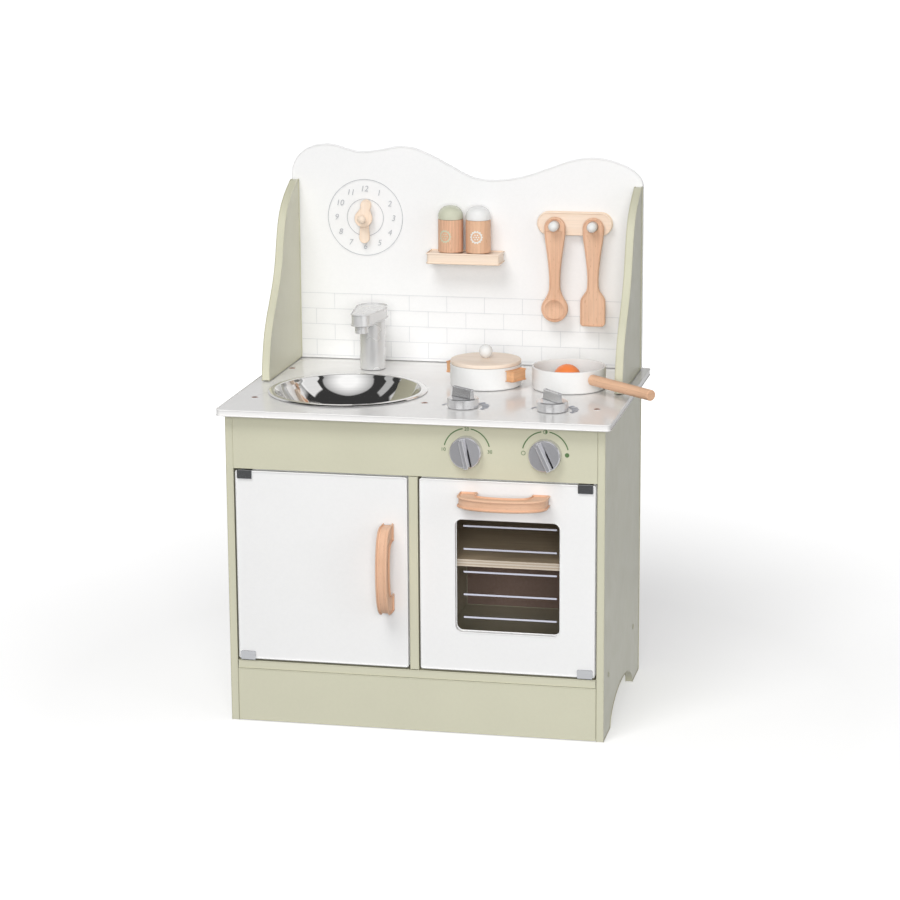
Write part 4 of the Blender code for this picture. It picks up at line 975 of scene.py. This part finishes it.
blob = []
for i in range(144):
    t = 2 * pi * i / 144
    r = 35.5 + 3.2 * sin(3 * t + 0.6) + 1.8 * sin(5 * t + 2.0)
    blob.append((QX - 1 + r * cos(t), QY + 1 + r * sin(t)))
put("egg_white_fine", plate_bm(blob, [], 8.4, "XY", (0, 0, Z0 + 3.3 + 4.2), 3.2, 6), "white_gloss", "fried_egg", "egg_white")
EZ = Z0 + 3.3 + 8.4 + GAP
prof = [(0, EZ + 19)] + [(19 * sin(radians(a)), EZ + 19 * cos(radians(a))) for a in range(4, 88, 4)] + [(19, EZ + 0.9), (18.8, EZ + 0.3), (18.2, EZ), (0, EZ)]
put("egg_yolk_fine", lathe_bm(prof, (QX - 2.5, QY + 1, 0), None, 96), "yolk", "fried_egg", "egg_yolk", weighted=False)

# ------------------------------------------------------------------ stage
def emitter(name, rgb, strength=1.0):
    m = bpy.data.materials.new(name)
    m.use_nodes = True
    nt = m.node_tree
    nt.nodes.clear()
    e = nt.nodes.new("ShaderNodeEmission")
    o = nt.nodes.new("ShaderNodeOutputMaterial")
    e.inputs["Color"].default_value = (*rgb, 1)
    e.inputs["Strength"].default_value = strength
    nt.links.new(e.outputs[0], o.inputs[0])
    m.cycles.emission_sampling = "NONE"
    return m, nt, e


FLOOR_EMIT = 0.42
fm = Mat("pale_floor")
fm.color(fm.ramp(fm.noise(fm.obj, 3.0, 3.0), [(0.3, (0.80, 0.80, 0.80)), (0.7, (0.82, 0.82, 0.82))]))
fm.const(Roughness=0.7, Specular_IOR_Level=0.2)
fm.b.inputs["Emission Color"].default_value = (1, 1, 1, 1)
fs = fm.node("ShaderNodeVectorMath", operation="LENGTH")
fm.link(fm.obj, fs.inputs[0])
fm.link(fm.range(fs.outputs["Value"], FLOOR_EMIT, 0.93, 0.55, 1.9), fm.b.inputs["Emission Strength"])
fm.m.cycles.emission_sampling = "NONE"
bm = bmesh.new()
bmesh.ops.create_grid(bm, x_segments=8, y_segments=8, size=28.0)
me = bpy.data.meshes.new("floor")
bm.to_mesh(me)
bm.free()
me.materials.append(fm.m)
floor = bpy.data.objects.new("floor", me)
scene.collection.objects.link(floor)
floor.visible_diffuse = False
floor.visible_shadow = False
floor.visible_glossy = False

# pale backdrop all round, for the camera only
m, nt, e = emitter("backdrop_white", (1, 1, 1), 1.0)
bm = bmesh.new()
bmesh.ops.create_uvsphere(bm, u_segments=48, v_segments=24, radius=27.0)
me = bpy.data.meshes.new("backdrop")
bm.to_mesh(me)
bm.free()
me.materials.append(m)
backdrop = bpy.data.objects.new("backdrop", me)
scene.collection.objects.link(backdrop)
for k in ("visible_diffuse", "visible_glossy", "visible_transmission", "visible_shadow", "visible_volume_scatter"):
    setattr(backdrop, k, False)

# what polished pieces mirror: a dark studio with a pale backdrop behind, a pale table and soft panels
# (azimuth from, to; elevation from, to; radiance; edge softness), degrees, azimuth 0 in front and + to the right
SOFT_PANELS = [(-35, 5, -3, 13, 1.5, 3.0), (24, 68, -22, 18, 1.1, 3.0), (74, 104, 0, 50, 0.9, 2.0), (-75, -62, 0, 50, 0.5, 2.0), (-110, -92, 0, 40, 0.7, 3.0)]
m, nt, e = emitter("studio_surround", (1, 1, 1), 1.0)
tc = nt.nodes.new("ShaderNodeTexCoord")
nrm = nt.nodes.new("ShaderNodeVectorMath")
nrm.operation = "NORMALIZE"
nt.links.new(tc.outputs["Object"], nrm.inputs[0])
sep = nt.nodes.new("ShaderNodeSeparateXYZ")
nt.links.new(nrm.outputs[0], sep.inputs[0])


def nramp(sock, stops, interp="LINEAR"):
    n = nt.nodes.new("ShaderNodeValToRGB")
    n.color_ramp.interpolation = interp
    els = n.color_ramp.elements
    while len(els) < len(stops):
        els.new(0.5)
    for el, (p, c) in zip(els, stops):
        el.position = p
        el.color = (c, c, c, 1) if isinstance(c, (int, float)) else (*c, 1)
    nt.links.new(sock, n.inputs[0])
    return n.outputs[0]


def nmath(op, a, b=None):
    n = nt.nodes.new("ShaderNodeMath")
    n.operation = op
    for i, v in enumerate((a, b)):
        if v is None:
            continue
        if isinstance(v, (int, float)):
            n.inputs[i].default_value = v
        else:
            nt.links.new(v, n.inputs[i])
    return n.outputs[0]


def nmix(fac, a, b):
    n = nt.nodes.new("ShaderNodeMix")
    n.data_type = "RGBA"
    nt.links.new(fac, n.inputs[0])
    for i, v in ((6, a), (7, b)):
        if isinstance(v, tuple):
            n.inputs[i].default_value = (*v, 1)
        else:
            nt.links.new(v, n.inputs[i])
    return n.outputs[2]


el = nmath("MULTIPLY", nmath("ARCSINE", sep.outputs[2]), 180 / pi)                       # elevation, degrees
az = nmath("MULTIPLY", nmath("ARCTAN2", sep.outputs[0], nmath("MULTIPLY", sep.outputs[1], -1.0)), 180 / pi)   # 0 in front, + to the right


def window(sock, lo, hi, soft):
    """1 between lo and hi, falling to 0 over soft degrees outside."""
    a = nt.nodes.new("ShaderNodeMapRange")
    a.inputs["From Min"].default_value, a.inputs["From Max"].default_value = lo - soft, lo
    nt.links.new(sock, a.inputs["Value"])
    b = nt.nodes.new("ShaderNodeMapRange")
    b.inputs["From Min"].default_value, b.inputs["From Max"].default_value = hi, hi + soft
    b.inputs["To Min"].default_value, b.inputs["To Max"].default_value = 1.0, 0.0
    nt.links.new(sock, b.inputs["Value"])
    return nmath("MULTIPLY", a.outputs["Result"], b.outputs["Result"])


def patch(az0, az1, el0, el1, value, soft=2.0):
    return nmath("MULTIPLY", nmath("MULTIPLY", window(az, az0, az1, soft), window(el, el0, el1, soft)), value)


back = nmath("MULTIPLY", window(nmath("ABSOLUTE", az), 112, 200, 12), nmath("MULTIPLY", window(el, -90, 38, 6), 0.66))
total = nmath("ADD", nmath("ADD", back, 0.05), nmath("MULTIPLY", window(el, -90, -3, 3), 0.08))
for args in SOFT_PANELS:
    total = nmath("ADD", total, patch(*args))
# the large round softbox over the front: brightest in the middle, with an edge
du = nmath("MULTIPLY", nmath("SUBTRACT", az, 12.0), 1 / 52.0)
dv = nmath("MULTIPLY", nmath("SUBTRACT", el, 47.0), 1 / 23.0)
rad = nmath("SQRT", nmath("ADD", nmath("MULTIPLY", du, du), nmath("MULTIPLY", dv, dv)))
total = nmath("ADD", total, nmath("MULTIPLY", window(rad, -1.0, 0.97, 0.05), nmath("ADD", 0.5, nmath("MULTIPLY", window(rad, -1.0, 0.35, 0.6), 0.7))))
cmb = nt.nodes.new("ShaderNodeCombineColor")
for k in range(3):
    nt.links.new(total, cmb.inputs[k])
nt.links.new(cmb.outputs[0], e.inputs["Color"])
bm = bmesh.new()
bmesh.ops.create_uvsphere(bm, u_segments=64, v_segments=32, radius=9.0)
me = bpy.data.meshes.new("studio_surround")
bm.to_mesh(me)
bm.free()
me.materials.append(m)
surround = bpy.data.objects.new("studio_surround", me)
surround.location = (0, 0, 0.4)
scene.collection.objects.link(surround)
for k in ("visible_diffuse", "visible_camera", "visible_transmission", "visible_shadow", "visible_volume_scatter"):
    setattr(surround, k, False)
# the pale table top that they mirror, near the object only
m, nt, e = emitter("mirrored_table", (0.86, 0.86, 0.85), 1.0)
bm = bmesh.new()
bmesh.ops.create_grid(bm, x_segments=8, y_segments=8, size=1.0)
me = bpy.data.meshes.new("mirrored_table")
bm.to_mesh(me)
bm.free()
me.transform(Matrix.Translation((0, -0.15, -0.002)) @ Matrix.Diagonal((1.5, 0.72, 1, 1)))
me.materials.append(m)
table = bpy.data.objects.new("mirrored_table", me)
scene.collection.objects.link(table)
for k in ("visible_diffuse", "visible_camera", "visible_transmission", "visible_shadow", "visible_volume_scatter"):
    setattr(table, k, False)

# ------------------------------------------------------------------ light
WORLD = 0.25
world = bpy.data.worlds.new("soft_world")
scene.world = world
world.use_nodes = True
bg = world.node_tree.nodes["Background"]
bg.inputs["Color"].default_value = (1.0, 1.0, 1.0, 1)
bg.inputs["Strength"].default_value = WORLD

mid = Vector((0.0, 0.0, 0.38))


def area(name, azim, elev, dist, size, power, rgb=(1, 1, 1), glossy=True):
    """Azimuth 0 is straight in front of the object, + to the right."""
    a, b = radians(azim), radians(elev)
    d = Vector((sin(a) * cos(b), -cos(a) * cos(b), sin(b)))
    li = bpy.data.lights.new(name, "AREA")
    li.shape = "DISK"
    li.size = size
    li.energy = power
    li.color = rgb
    ob = bpy.data.objects.new(name, li)
    ob.location = mid + d * dist
    ob.rotation_euler = (-d).to_track_quat("-Z", "Y").to_euler()
    scene.collection.objects.link(ob)
    ob.visible_camera = False
    ob.visible_glossy = glossy
    return ob


UNIT = 4.0 * 4.0 * pi * pi        # power that gives the same light as a world of strength 1, at 4 m
area("key", -14, 50, 4.0, 2.0, 0.42 * UNIT, glossy=False)
area("front", 11, 13, 4.0, 1.8, 0.52 * UNIT, glossy=False)
area("fill", 57, 15, 4.0, 2.0, 0.08 * UNIT, glossy=False)

# ------------------------------------------------------------------ camera
f_px = 2816.013
C = Vector((778.372, -3432.786, 1202.395))
yaw, pitch, roll = 0.209341366, 0.229777021, -0.00599034
fwd = Vector((-sin(yaw) * cos(pitch), cos(yaw) * cos(pitch), -sin(pitch)))
r0 = Vector((cos(yaw), sin(yaw), 0.0))
u0 = r0.cross(fwd)
right = cos(roll) * r0 + sin(roll) * u0
up = -sin(roll) * r0 + cos(roll) * u0
cam = bpy.data.cameras.new("camera")
cam.sensor_fit = "HORIZONTAL"
cam.sensor_width = 36.0
cam.lens = f_px / 900.0 * 36.0
cam.clip_end = 100.0
camera = bpy.data.objects.new("camera", cam)
m3 = Matrix((right, up, -fwd)).transposed()
camera.matrix_world = Matrix.Translation(W(*C)) @ m3.to_4x4()
scene.collection.objects.link(camera)
scene.camera = camera
scene.view_settings.view_transform = "Standard"
scene.view_settings.look = "None"
scene.view_settings.exposure = 0.0
scene.view_settings.gamma = 1.0
